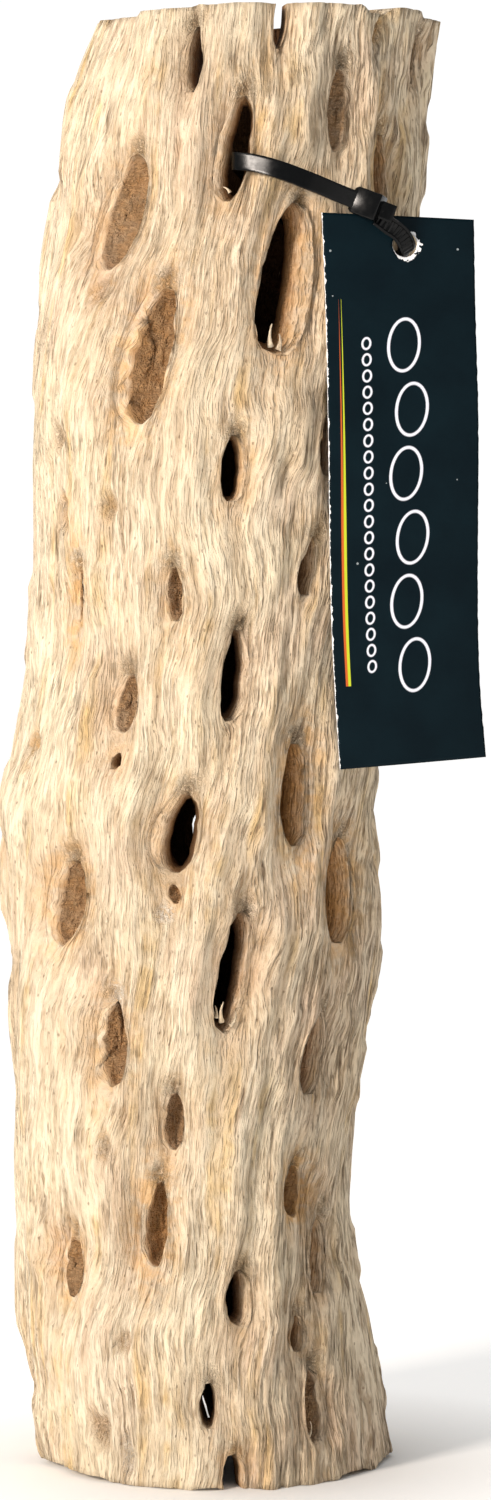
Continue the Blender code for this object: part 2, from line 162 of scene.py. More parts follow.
world = bpy.data.worlds.new("studio")
bpy.context.scene.world = world
world.use_nodes = True
sky = world.node_tree
looking = add(sky, "ShaderNodeTexCoord", out="Generated")
back = add(sky, "ShaderNodeSeparateXYZ", {0: looking}, out="Y")
right = add(sky, "ShaderNodeSeparateXYZ", {0: looking}, out="X")
glow = add(sky, "ShaderNodeMapRange", {"Value": back, "From Min": -0.3, "From Max": 0.6, "To Min": 0.42, "To Max": 1.04})
shade = add(sky, "ShaderNodeMapRange", {"Value": right, "From Min": 0.1, "From Max": 0.8, "To Min": 1.0, "To Max": 0.5})
glow = add(sky, "ShaderNodeMath", {0: glow, 1: shade}, operation="MULTIPLY")
sky.nodes["Background"].inputs["Color"].default_value = colour("#FFFFFF")
sky.links.new(glow, sky.nodes["Background"].inputs["Strength"])
bpy.context.scene.view_settings.view_transform = "Standard"
print("studio ready")

# %% [markdown]
# ## The wood's holes
#
# The skeleton's holes are where the cactus had its buds. The table is the one that the CAD model is made
# with, so that every strand here parts round a hole that is really there. The holes of the back follow
# the bud spiral, about 137.5 degrees from one to the next, as leaves do on many plants.

# %% The tube and its holes
LENGTH = 254 * MM
WALL = 8.5 * MM
MEAN_RADIUS = 31 * MM
MIDDLE = Vector((4.07, -0.554, 0.0)) * MM
STATIONS = [z * MM for z in (0, 24, 52, 80, 98, 115, 136, 157, 193, 221, 240, 254)]
LEFT_SIDE = [x * MM for x in (-30.5, -33.2, -35.1, -36.2, -36.4, -38.1, -34.2, -32.1, -32.3, -28.0, -25.2, -20.5)]
RIGHT_SIDE = [x * MM for x in (30.8, 26.5, 23.6, 26.3, 28.1, 27.6, 29.8, 31.0, 33.6, 36.0, 37.0, 37.9)]

# A hole: turn in degrees, height of its middle, width, height, lean to the right in degrees, depth of its
# floor (0 goes right through), its throat's shift to the right, and how orange its inside is, from 0 to 1.
# All but the angles and the last are in millimetres.
Hole = namedtuple("Hole", "turn up wide tall lean floor slant warm", defaults=(0, 0, 0.0))
FRONT_HOLES = [
    Hole(-22.0, 244.6, 4.5, 11.6, 1),
    Hole(5.5, 251.7, 2.6, 11.3, 3),
    Hole(-3.5, 229.2, 5.8, 18.0, 10, 0, 1.2),
    Hole(31.0, 236.2, 5.2, 14.7, 1, 2.6),
    Hole(66.0, 246.0, 3.8, 9.0, 8),
    Hole(51.5, 226.0, 5.0, 12.8, -4),
    Hole(50.0, 209.0, 5.4, 13.0, 4),
    Hole(-42.0, 219.1, 10.6, 20.5, 16, 3.4, 0.8, 0.35),
    Hole(18.5, 207.3, 10.0, 26.0, 9, 0, -1.5),
    Hole(-24.0, 194.4, 9.2, 23.8, 13, 4.0, 0, 0.7),
    Hole(5.2, 175.2, 4.3, 11.2, 3),
    Hole(36.5, 180.1, 3.8, 12.3, 6),
    Hole(31.0, 158.6, 3.6, 10.2, 12),
    Hole(-12.5, 153.9, 3.6, 9.5, -2, 3.2),
    Hole(9.2, 140.0, 4.6, 15.6, 5),
    Hole(-27.0, 135.1, 5.8, 10.2, 11, 3.0),
    Hole(-26.0, 125.2, 2.8, 2.8, 0),
    Hole(-48.0, 153.5, 2.8, 9.6, 4, 2.2, 0, 1.0),
    Hole(-3.5, 113.2, 7.6, 14.0, 14, 0, 1.5),
    Hole(-6.0, 102.6, 3.2, 3.4, 0, 3.0, 0.5),
    Hole(34.5, 119.3, 5.6, 17.8, 1, 0, 0, 0.8),
    Hole(-44.0, 100.5, 8.6, 15.5, 9, 3.2, 0, 0.6),
    Hole(57.0, 102.1, 8.6, 18.7, 0, 0, 0, 0.7),
    Hole(14.5, 88.9, 6.3, 21.1, 10, 0, -0.6),
    Hole(-26.0, 76.4, 6.8, 15.4, 2, 3.2, 0, 0.5),
    Hole(47.5, 74.2, 6.8, 14.8, 12),
    Hole(-4.3, 63.2, 4.5, 10.2, 2, 4.0),
    Hole(-11.0, 45.4, 5.3, 15.0, 5, 4.2, 0, 0.9),
    Hole(43.0, 50.0, 6.2, 9.2, 4, 4.0, 0, 1.0),
    Hole(52.0, 38.6, 6.0, 13.8, 4),
    Hole(-50.0, 36.8, 8.8, 11.0, 9, 2.4, 0, 0.7),
    Hole(16.4, 32.4, 5.4, 9.4, 4),
    Hole(38.0, 25.4, 3.6, 6.2, 2),
    Hole(1.4, 14.2, 3.7, 8.0, 4),
    Hole(40.0, 12.8, 5.8, 13.0, -2, 4.0),
    Hole(6.0, 2.0, 4.2, 7.4, 0),
]
BUD_TURN = 137.508
BUD_RISE = 2.1 * MM
FRONT_VIEW = 80
BEHIND_TAG = (44, 128, 212)
HOLE_GAP = 3.0 * MM
SEED = 7


# %% Places on the tube


def smooth_between(stations, values, at):
    """A smooth curve through the values, read at one place."""
    last = len(stations) - 1
    at = min(max(at, stations[0]), stations[last])
    i = max(k for k in range(last) if stations[k] <= at)

    def slope(k):
        a, b = max(k - 1, 0), min(k + 1, last)
        return (values[b] - values[a]) / (stations[b] - stations[a])

    span = stations[i + 1] - stations[i]
    t = (at - stations[i]) / span
    return (
        (2 * t**3 - 3 * t**2 + 1) * values[i]
        + (t**3 - 2 * t**2 + t) * span * slope(i)
        + (3 * t**2 - 2 * t**3) * values[i + 1]
        + (t**3 - t**2) * span * slope(i + 1)
    )


def tube_at(z):
    """The tube's middle and its radius at a height."""
    left, right = smooth_between(STATIONS, LEFT_SIDE, z), smooth_between(STATIONS, RIGHT_SIDE, z)
    x = (left + right) / 2 - MIDDLE.x
    y = 1.5 * MM * math.sin(2 * math.pi * z / LENGTH) - MIDDLE.y
    return x, y, (right - left) / 2


def off_hole(hole, turn, z):
    """How far a place on the surface is from a hole's middle, across it and along it."""
    around = (turn - math.radians(hole.turn) + math.pi) % (2 * math.pi) - math.pi
    s, up = around * MEAN_RADIUS, z - hole.up * MM
    lean = math.radians(hole.lean)
    return s * math.cos(lean) - up * math.sin(lean), s * math.sin(lean) + up * math.cos(lean)


def on_hole(hole, across, along):
    """The place on the surface that lies this far across and along from a hole's middle."""
    lean = math.radians(hole.lean)
    s = across * math.cos(lean) + along * math.sin(lean)
    up = -across * math.sin(lean) + along * math.cos(lean)
    return math.radians(hole.turn) + s / MEAN_RADIUS, hole.up * MM + up


def mouth(hole, points=None, scale=1.0, share=0.0, full=1.0):
    """Points round a hole's mouth, a long ellipse. A number below 1 for full makes its ends rounder."""
    a, b = hole.wide * MM / 2, hole.tall * MM / 2
    points = points or 2 * max(4, round(math.pi * (a + b) / (3.5 * MM) / 2))
    outline = []
    for k in range(points):
        u = -2 * math.pi * k / points
        side = math.copysign(abs(math.cos(u)) ** full, math.cos(u))
        across = a * side * (1 - 0.12 * math.sin(u) - 0.05 * math.sin(u) ** 2) * scale
        across += hole.slant * MM * share
        outline.append(on_hole(hole, across, b * math.sin(u) * (0.5 + scale / 2)))
    return outline


def crowded(hole, others):
    """True if a hole would cut into the strand of wood round another hole."""

    def near(other, turn, z):
        across, along = off_hole(other, turn, z)
        reach = math.hypot(across / (other.wide * MM / 2 + HOLE_GAP), along / (other.tall * MM / 2 + HOLE_GAP))
        return reach < 1

    for other in others:
        if any(near(other, turn, z) for turn, z in mouth(hole)):
            return True
        if near(hole, math.radians(other.turn), other.up * MM):
            return True
    return False


def spiral_holes(rng):
    """The holes of the back, the sides and behind the tag, set one after another up the bud spiral."""
    holes = []
    low, high = BEHIND_TAG[1], BEHIND_TAG[2]
    for bud in range(int(LENGTH / BUD_RISE) + 1):
        turn = (bud * BUD_TURN + rng.uniform(-5, 5) + 180) % 360 - 180
        up = bud * BUD_RISE / MM + rng.uniform(-3, 3)
        wide, tall = rng.uniform(2.8, 6.2), rng.uniform(9, 19)
        lean = rng.gauss(6, 5)
        depth = 0 if rng.random() < 0.6 else rng.uniform(2.6, 4.2)
        hidden = turn > BEHIND_TAG[0] and low < up < high
        if abs(turn) < FRONT_VIEW and not hidden:
            continue
        if depth and not tall / 2 + 2 < up < LENGTH / MM - tall / 2 - 2:
            depth = 0
        for shrink in (1, 0.75, 0.55):
            hole = Hole(turn, up, wide * shrink, tall * shrink, lean, depth)
            if not crowded(hole, FRONT_HOLES + holes):
                holes.append(hole)
                break
    return holes


def leaning(hole):
    """The hole with the lean on the tube that gives a lean in the photograph: the tube tapers and turns away."""
    turn, low, high = math.radians(hole.turn), max(hole.up - 5, 0) * MM, min(hole.up + 5, LENGTH / MM) * MM
    (low_x, _, low_radius), (high_x, _, high_radius) = tube_at(low), tube_at(high)
    drift = (high_x - low_x + (high_radius - low_radius) * math.sin(turn)) / (high - low)
    slope = (math.tan(math.radians(hole.lean)) - drift) / max(0.7, math.cos(turn))
    return hole._replace(lean=math.degrees(math.atan(slope)))


SPIRAL = spiral_holes(random.Random(SEED))
FRONT = {(hole.turn, hole.up): leaning(hole) for hole in FRONT_HOLES}
HOLES = [*FRONT.values(), *SPIRAL]
print(len(HOLES), "holes,", sum(1 for hole in HOLES if not hole.floor), "go through")

# %% [markdown]
# ## The flow of the grain
#
# Wood fibres part round a hole and close again behind it. So the mesh follows the fibres: its columns of
# faces run up the tube, each hole opens between two columns, and those two are moved onto its edge. The
# other columns give way, stiffly along the fibre and softly across it. Ridges and cracks then lie along
# the grain without a jagged edge.

# %% The mesh of the skin, in (turn, height, depth) places
Layers = namedtuple("Layers", "turn up sink fibre pith scoop hole")
MOUTH_FULL = 0.66
BLUNT_FOOT, BLUNT_TOP, BLUNT_MOST = 0.18, 0.16, 0.8


def edges_at(outline, z):
    """Where a row at height z crosses a hole's outline: left and right, or None."""
    ring = np.array(outline)
    top, foot = int(ring[:, 1].argmax()), int(ring[:, 1].argmin())
    if not ring[foot, 1] < z < ring[top, 1]:
        return None
    sides = []
    count = len(ring)
    for step in (1, -1):
        chain = [foot]
        while chain[-1] != top:
            chain.append((chain[-1] + step) % count)
        points = ring[chain]
        sides.append(float(np.interp(z, points[:, 1], points[:, 0])))
    return min(sides), max(sides)


def spread_out(fixed, values, stiff, leak, rounds=500):
    """Spreads the values of fixed nodes smoothly over the grid round them, fading with distance."""
    field = np.where(fixed, values, 0.0)
    for _ in range(rounds):
        over, under = np.vstack((field[1:], field[-1:])), np.vstack((field[:1], field[:-1]))
        around = stiff * (over + under) + np.roll(field, 1, axis=1) + np.roll(field, -1, axis=1)
        field = np.where(fixed, values, around / (2 * stiff + 2 + leak))
    return field


def kept_in_order(row, fixed, least):
    """Pushes the turns of a row apart, between its fixed nodes, where two of them come too close."""
    count = len(row)
    nodes = np.nonzero(fixed)[0]
    for i, first in enumerate(nodes):
        steps = (nodes[(i + 1) % len(nodes)] - first) % count
        inner = (first + np.arange(steps + 1)) % count
        jumps = (np.diff(row[inner]) + math.pi) % (2 * math.pi) - math.pi
        spare = np.concatenate(([0.0], np.cumsum(jumps))) - least * np.arange(steps + 1)
        if steps < 2 or spare[-1] < 0:
            continue
        pushed = np.maximum.accumulate(spare)
        pushed[-1] = spare[-1]
        pushed = np.minimum.accumulate(pushed[::-1])[::-1]
        row[inner[1:-1]] = (row[first] + pushed + least * np.arange(steps + 1))[1:-1]
    return row


def lean_at(turns, z):
    """How far the fibres lean to the right at places of one height, as a slope: a mean of the holes' leans."""
    total, weights = np.zeros_like(turns), np.full_like(turns, 0.08)
    for hole in HOLES:
        s = ((turns - math.radians(hole.turn) + math.pi) % (2 * math.pi) - math.pi) * MEAN_RADIUS
        weight = np.exp(-(s**2 + (0.7 * (z - hole.up * MM)) ** 2) / (2 * (8 * MM) ** 2))
        total += weight * math.tan(math.radians(hole.lean))
        weights += weight
    return total / weights


def fibre_grid(columns, rows, holes, scale, share):
    """Places of a grid whose columns follow the fibres, and for each hole the strip that it opens."""
    heights = np.linspace(0, LENGTH, rows + 1)
    even = ((np.arange(columns) + 0.5) / columns * 2 - 1) * math.pi
    turns = np.repeat(even[None, :], rows + 1, axis=0)
    half, step = rows // 2, LENGTH / rows / MEAN_RADIUS
    for j in range(half, rows):
        turns[j + 1] = turns[j] + step * lean_at(turns[j], heights[j] + LENGTH / rows / 2)
    for j in range(half, 0, -1):
        turns[j - 1] = turns[j] - step * lean_at(turns[j], heights[j] - LENGTH / rows / 2)

    # The two columns beside a hole are moved onto its edge, and the others give way
    strips = []
    fixed = np.zeros((rows + 1, columns), bool)
    shift, lift = np.zeros((rows + 1, columns)), np.zeros((rows + 1, columns))
    for hole in holes:
        outline = mouth(hole, 96, scale, share, MOUTH_FULL)
        ring = np.array(outline)
        low_tip, high_tip = ring[ring[:, 1].argmin()], ring[ring[:, 1].argmax()]
        middle = int(round(min(max(hole.up * MM, 0), LENGTH) / LENGTH * rows))
        gap = (turns[middle] - math.radians(hole.turn) + math.pi) % (2 * math.pi) - math.pi
        left = int(np.where(gap < 0, gap, -9).argmax())
        first = max(1, int(round(low_tip[1] / LENGTH * rows))) if low_tip[1] > 0 else 0
        last = min(rows - 1, int(round(high_tip[1] / LENGTH * rows))) if high_tip[1] < LENGTH else rows
        strips.append((left, first, last))
        for j in range(first, last + 1):
            ends = edges_at(outline, heights[j])
            rise = 0.0
            if j in (first, last) and 0 < j < rows:
                tip, blunt = (low_tip, BLUNT_FOOT) if j == first else (high_tip, BLUNT_TOP)
                half_gap = min(blunt * hole.wide, BLUNT_MOST) * MM * scale / MEAN_RADIUS
                ends = tip[0] - half_gap, tip[0] + half_gap
                rise = tip[1] - heights[j]
            for k, end in zip((left, (left + 1) % columns), ends):
                fixed[j, k] = True
                shift[j, k] = (end - turns[j, k] + math.pi) % (2 * math.pi) - math.pi
                lift[j, k] = rise
    turns += spread_out(fixed, shift, 4.0, 0.01)
    for j in range(rows + 1):
        turns[j] = kept_in_order(turns[j], fixed[j], 0.2 * 2 * math.pi / columns)
    still = fixed.copy()
    still[0] = still[rows] = True
    ups = heights[:, None] + spread_out(still, lift, 1.0, 0.12)
    gaps = (np.diff(turns, axis=1) + math.pi) % (2 * math.pi) - math.pi
    print("columns", round(gaps.min() * MEAN_RADIUS / MM, 2), "to", round(gaps.max() * MEAN_RADIUS / MM, 2), "mm apart")
    print("largest shift of a column", round(np.abs(shift).max() * MEAN_RADIUS / MM, 2), "mm")
    return turns, ups, strips


# %% Opening the skin


def open_skin(columns, rows, holes, scale, share):
    """A tube of faces along the fibres, with the holes left open. Places are kept in layers."""
    turns, ups, strips = fibre_grid(columns, rows, holes, scale, share)
    bm = bmesh.new()
    floats = [bm.verts.layers.float.new(label) for label in Layers._fields[:-1]]
    layers = Layers(*floats, bm.verts.layers.int.new("hole"))
    bmesh.ops.create_grid(bm, x_segments=columns, y_segments=rows, size=1.0)
    owner = {}
    for index, (left, first, last) in enumerate(strips):
        for j in range(first, last + 1):
            owner[(left % columns, j)] = index
            owner[((left + 1) % columns, j)] = index
    cut = {(left % columns, j) for left, first, last in strips for j in range(first, last)}
    gone = []
    for face in bm.faces:
        spot = face.calc_center_median()
        k, j = math.floor((spot.x + 1) / 2 * columns), math.floor((spot.y + 1) / 2 * rows)
        if (k, j) in cut:
            gone.append(face)
    for vert in bm.verts:
        k, j = round((vert.co.x + 1) / 2 * columns), round((vert.co.y + 1) / 2 * rows)
        lap = 2 * math.pi if k == columns else 0.0
        turn, up = turns[j, k % columns] + lap, ups[j, k % columns]
        vert[layers.turn], vert[layers.up] = turn, up
        vert[layers.fibre] = (k + 0.5) / columns * 2 * math.pi
        vert[layers.hole] = owner.get((k % columns, j), -1)
        vert.co = (math.sin(turn) * (1 + up), -math.cos(turn) * (1 + up), up)
    bmesh.ops.delete(bm, geom=gone, context="FACES")
    seam = [vert for vert in bm.verts if vert.is_boundary]
    bmesh.ops.remove_doubles(bm, verts=seam, dist=1e-6)
    return bm, layers


print("columns follow", len(HOLES), "holes")

# %% [markdown]
# ## Worn edges, walls and floors of the holes
#
# Each open edge is extruded inwards, ring after ring. A hole that goes through narrows to a throat and
# widens again towards the bore. Light falls in on the side where the wall slopes, the scoop, and the
# other side drops away under a sharp lip. A blind hole ends in a floor of old brown pith. The two sawn
# ends come from the same rings, because there the open edge is the tube's own rim.

# %% Rings of a hole's wall
THROUGH = [hole for hole in HOLES if not hole.floor]
PITS = [hole for hole in HOLES if hole.floor]
SKIN_COLUMNS, SKIN_ROWS = 326, 204
BORE_COLUMNS, BORE_ROWS = 110, 90
INNER_MOUTH = 0.86

# Rings of a wall. The first two numbers are the depth on the side of the lip and on the side of the
# scoop, the other two say how far those sides have come in from the mouth to the throat.
WALL_RINGS = [
    (0.03, 0.012, 0.00, 0.07), (0.10, 0.035, -0.03, 0.22), (0.22, 0.08, -0.05, 0.42), (0.36, 0.15, 0.05, 0.64),
    (0.52, 0.27, 0.40, 0.84), (0.72, 0.50, 0.85, 0.98), (0.88, 0.80, 1.00, 1.00), (1.01, 1.01, 1.00, 1.00),
]
# Rings of a blind hole: the depths are shares of its floor's, and the sides come in to its middle
PIT_RINGS = [
    (0.10, 0.03, 0.00, 0.06), (0.38, 0.10, -0.02, 0.16), (0.74, 0.22, 0.02, 0.30), (0.95, 0.38, 0.14, 0.46),
    (1.02, 0.56, 0.38, 0.62), (1.00, 0.78, 0.66, 0.80),
]
# The throat's share of the mouth's width, more in a narrow hole, its share of the height, and its offset
THROAT_WIDE, THROAT_WIDER, THROAT_TALL, THROAT_OFF = 0.42, 1.0 * MM, 0.84, 0.32


def scoop_side(hole):
    """On which side of a hole the wall slopes: +1 is the right."""
    if hole.slant:
        return -1 if hole.slant > 0 else 1
    return 1 if math.sin(math.radians(hole.turn)) > 0 else -1


def at_end(up):
    return up < 1e-6 or up > LENGTH - 1e-6


def ring_place(hole, start, ring, last):
    """Where a point of a hole's edge goes on one ring of its wall, and how deep it lies there."""
    lip_depth, scoop_depth, lip_in, scoop_in = ring
    a, b = hole.wide * MM / 2, hole.tall * MM / 2
    across, along = off_hole(hole, *start)
    side = scoop_side(hole)
    scoop = (1 + max(-1.0, min(1.0, side * across / a))) / 2
    scoop = scoop * scoop * (3 - 2 * scoop)
    inwards = lip_in + (scoop_in - lip_in) * scoop
    if hole.turn > 25 and not hole.floor:
        scoop_depth = scoop_depth**0.54
    sink = lip_depth + (scoop_depth - lip_depth) * scoop
    if hole.floor:
        goal, goal_along = -0.15 * side * a, 0.0
    else:
        throat = min(0.8, THROAT_WIDE + THROAT_WIDER / (2 * a))
        goal, goal_along = throat * across - min(THROAT_OFF, 0.9 - throat) * side * a, THROAT_TALL * along
    if last and not hole.floor:
        goal, goal_along = INNER_MOUTH * across + hole.slant * MM, along * (0.5 + INNER_MOUTH / 2)
    rough = 0.30 * MM * noise.noise((along / (1.5 * MM), 7 * sink, hole.turn)) * min(1, sink * 6) * (1 - scoop * 0.5)
    if last:
        rough = 0.0
    turn, up = on_hole(hole, across + (goal - across) * inwards + rough, along + (goal_along - along) * max(inwards, 0))
    up = start[1] if at_end(start[1]) else min(max(up, 0.4 * MM), LENGTH - 0.4 * MM)
    return turn, up, sink, scoop


def extrude_rings(bm, edges, rings, move):
    """Extrudes open edges ring after ring. Returns the edges of the last ring."""
    for ring in rings:
        made = bmesh.ops.extrude_edge_only(bm, edges=edges)["geom"]
        fresh = {item for item in made if isinstance(item, bmesh.types.BMVert)}
        for vert in fresh:
            move(vert, ring)
        edges = [e for e in made if isinstance(e, bmesh.types.BMEdge) and all(v in fresh for v in e.verts)]
    return edges


# %% The skin with its walls
skin, at = open_skin(SKIN_COLUMNS, SKIN_ROWS, HOLES, 1.0, 0.0)
start_turn = skin.verts.layers.float.new("start_turn")
start_up = skin.verts.layers.float.new("start_up")
for vert in skin.verts:
    if vert[at.hole] >= 0 and vert.is_boundary and not at_end(vert[at.up]):
        hole = HOLES[vert[at.hole]]
        across, along = off_hole(hole, vert[at.turn], vert[at.up])
        ragged = 0.26 * MM * noise.noise((along / (1.5 * MM), across / (3 * MM), hole.up))
        if hole.floor and across * scoop_side(hole) > 0:
            jag = abs(noise.noise((along / (2.2 * MM), 4.0, hole.up))) + 0.4 * abs(noise.noise((along / (0.9 * MM), 8.0, 0)))
            ragged -= 2.5 * MM * jag * scoop_side(hole) * min(1.0, hole.wide / 7) ** 2
        ragged += 0.45 * MM * noise.noise((along / (3.2 * MM), across / (3 * MM), hole.up + 20))
        vert[at.turn], _ = on_hole(hole, across + ragged, along)
    vert[start_turn], vert[start_up] = vert[at.turn], vert[at.up]


def sink_wall(vert, ring):
    turn, up = vert[start_turn], vert[start_up]
    sink = scoop = ring[0]
    if vert[at.hole] >= 0:
        turn, up, sink, scoop = ring_place(HOLES[vert[at.hole]], (turn, up), ring, ring is WALL_RINGS[-1])
        vert[at.scoop] = scoop
    vert[at.turn], vert[at.up], vert[at.sink] = turn, up, sink


def sink_pit(vert, ring):
    hole = HOLES[vert[at.hole]]
    turn, up, sink, scoop = ring_place(hole, (vert[start_turn], vert[start_up]), ring, False)
    vert[at.turn], vert[at.up], vert[at.sink] = turn, up, sink * hole.floor * MM / WALL
    reached = PIT_RINGS.index(ring)
    vert[at.pith] = min(1.0, max(0.0, (reached - 1.5 + 1.0 * (1 - scoop)) / 2))


open_edges = [edge for edge in skin.edges if edge.is_boundary]


def belongs(edge, blind):
    """True if an open edge is part of a blind hole, or of a through hole or a rim."""
    holes = {vert[at.hole] for vert in edge.verts}
    of_pit = len(holes) == 1 and -1 not in holes and HOLES[min(holes)].floor > 0
    return of_pit == blind


through_edges = [edge for edge in open_edges if belongs(edge, False)]
pit_edges = [edge for edge in open_edges if belongs(edge, True)]
extrude_rings(skin, through_edges, WALL_RINGS, sink_wall)
last_edges = extrude_rings(skin, pit_edges, PIT_RINGS, sink_pit)
bmesh.ops.holes_fill(skin, edges=last_edges, sides=0)
bmesh.ops.triangulate(skin, faces=[face for face in skin.faces if len(face.verts) > 4])
print("skin:", len(skin.verts), "points,", sum(len(face.verts) - 2 for face in skin.faces), "triangles")

# %% [markdown]
# ## Shaping the wood
#
# A place on the tube becomes a point in space here. The radius is the CAD's own: the measured outline,
# broad lumps and a hollow round each hole. On top come the strands, ridges and cracks of the grain, the
# crusts of old bark tissue over the holes and the shallow scars of spines.

# %% Smooth shape of the tube
TABLE_STEPS = 1000
table_z = np.linspace(0, LENGTH, TABLE_STEPS + 1)
table = np.array([tube_at(z) for z in table_z])

# A scar: turn, height, width, height and lean as for a hole, its depth and how orange it is (below 0: pale)
Scar = namedtuple("Scar", "turn up wide tall lean deep warm")
SCARS = [
    Scar(-34, 168.7, 3.0, 5.5, 0, 1.0, 0.5),
    Scar(-54, 167.7, 3.4, 7.6, 0, 1.2, 0.7),
    Scar(-55.5, 180.5, 4.0, 5.0, 0, 1.0, 0.4),
    Scar(-43.5, 205.4, 5.6, 5.1, 39, 1.1, 0.9),
    Scar(-27, 58.3, 3.1, 6.5, 0, 1.0, 0.8),
    Scar(-25, 24.9, 2.8, 4.2, 0, 1.3, 0.2),
    Scar(-38, 9.1, 4.2, 7.2, 0, 1.6, 0.2),
    Scar(41.5, 251.0, 3.0, 6.0, 18, 1.2, 1.0),
    Scar(-9.0, 99.2, 3.6, 4.4, 10, 0.3, -1.0),
    Scar(-23.0, 85.4, 3.2, 3.8, 0, 0.2, -0.9),
    Scar(-29, 5.0, 3.4, 9.0, 0, 0.9, -0.6),
    Scar(-62, 127.0, 4.0, 6.0, 0, 1.0, 1.0),
]


def near_shape(shape, turn, up, spread):
    """Where places lie against an ellipse widened by a spread: 1 on its edge. Also across and along."""
    around = (turn - math.radians(shape.turn) + math.pi) % (2 * math.pi) - math.pi
    s, rise = around * MEAN_RADIUS, up - shape.up * MM
    lean = math.radians(shape.lean)
    across = s * math.cos(lean) - rise * math.sin(lean)
    along = s * math.sin(lean) + rise * math.cos(lean)
    reach = np.hypot(across / (shape.wide * MM / 2 + spread), along / (shape.tall * MM / 2 + spread))
    return reach, across, along


def grown(turn, up, pitch, seed):
    """Smooth noise over the tube's surface: the pitch is (round, up) in the noise's own measure."""
    values = [
        noise.noise((pitch[0] * math.sin(t), pitch[0] * math.cos(t), z / pitch[1] + seed))
        for t, z in zip(turn.tolist(), up.tolist())
    ]
    return np.array(values)


def hollows(turn, up):
    """How far the skin sinks round the holes, as in the CAD model."""
    total = np.zeros_like(turn)
    for hole in HOLES:
        _, across, along = near_shape(hole, turn, up, 0)
        near = (across / (hole.wide * MM / 2 + 1.3 * MM)) ** 2 + (along / (hole.tall * MM * 0.42 + 2 * MM)) ** 2
        total += np.where(near < 16, (0.8 + 0.20 * hole.wide) * MM * np.exp(-near / 2), 0)
    return np.minimum(total, 3.0 * MM)


def outer_radius(turn, up):
    radius = np.interp(up, table_z, table[:, 2])
    lumps, knots = grown(turn, up, (1.6, 38 * MM), 0), grown(turn, up, (4.5, 21 * MM), 9)
    return radius + 1.1 * MM * lumps + 0.6 * MM * knots + 0.5 * MM - hollows(turn, up)


def inner_radius(turn, up):
    return np.interp(up, table_z, table[:, 2]) - WALL + 0.9 * MM * grown(turn, up, (3.0, 30 * MM), 40)


# %% Relief of the grain
STRAND, STRAND_LONG, STRAND_HIGH = 6.0, 50.0, 1.5
RIDGE, RIDGE_LONG, RIDGE_HIGH = 1.9, 20.0, 0.34
CRACK, CRACK_LONG, CRACK_DEEP = 0.8, 10.0, 0.45
CRUST_GRAIN, CRUST_HIGH = 0.9, 0.6


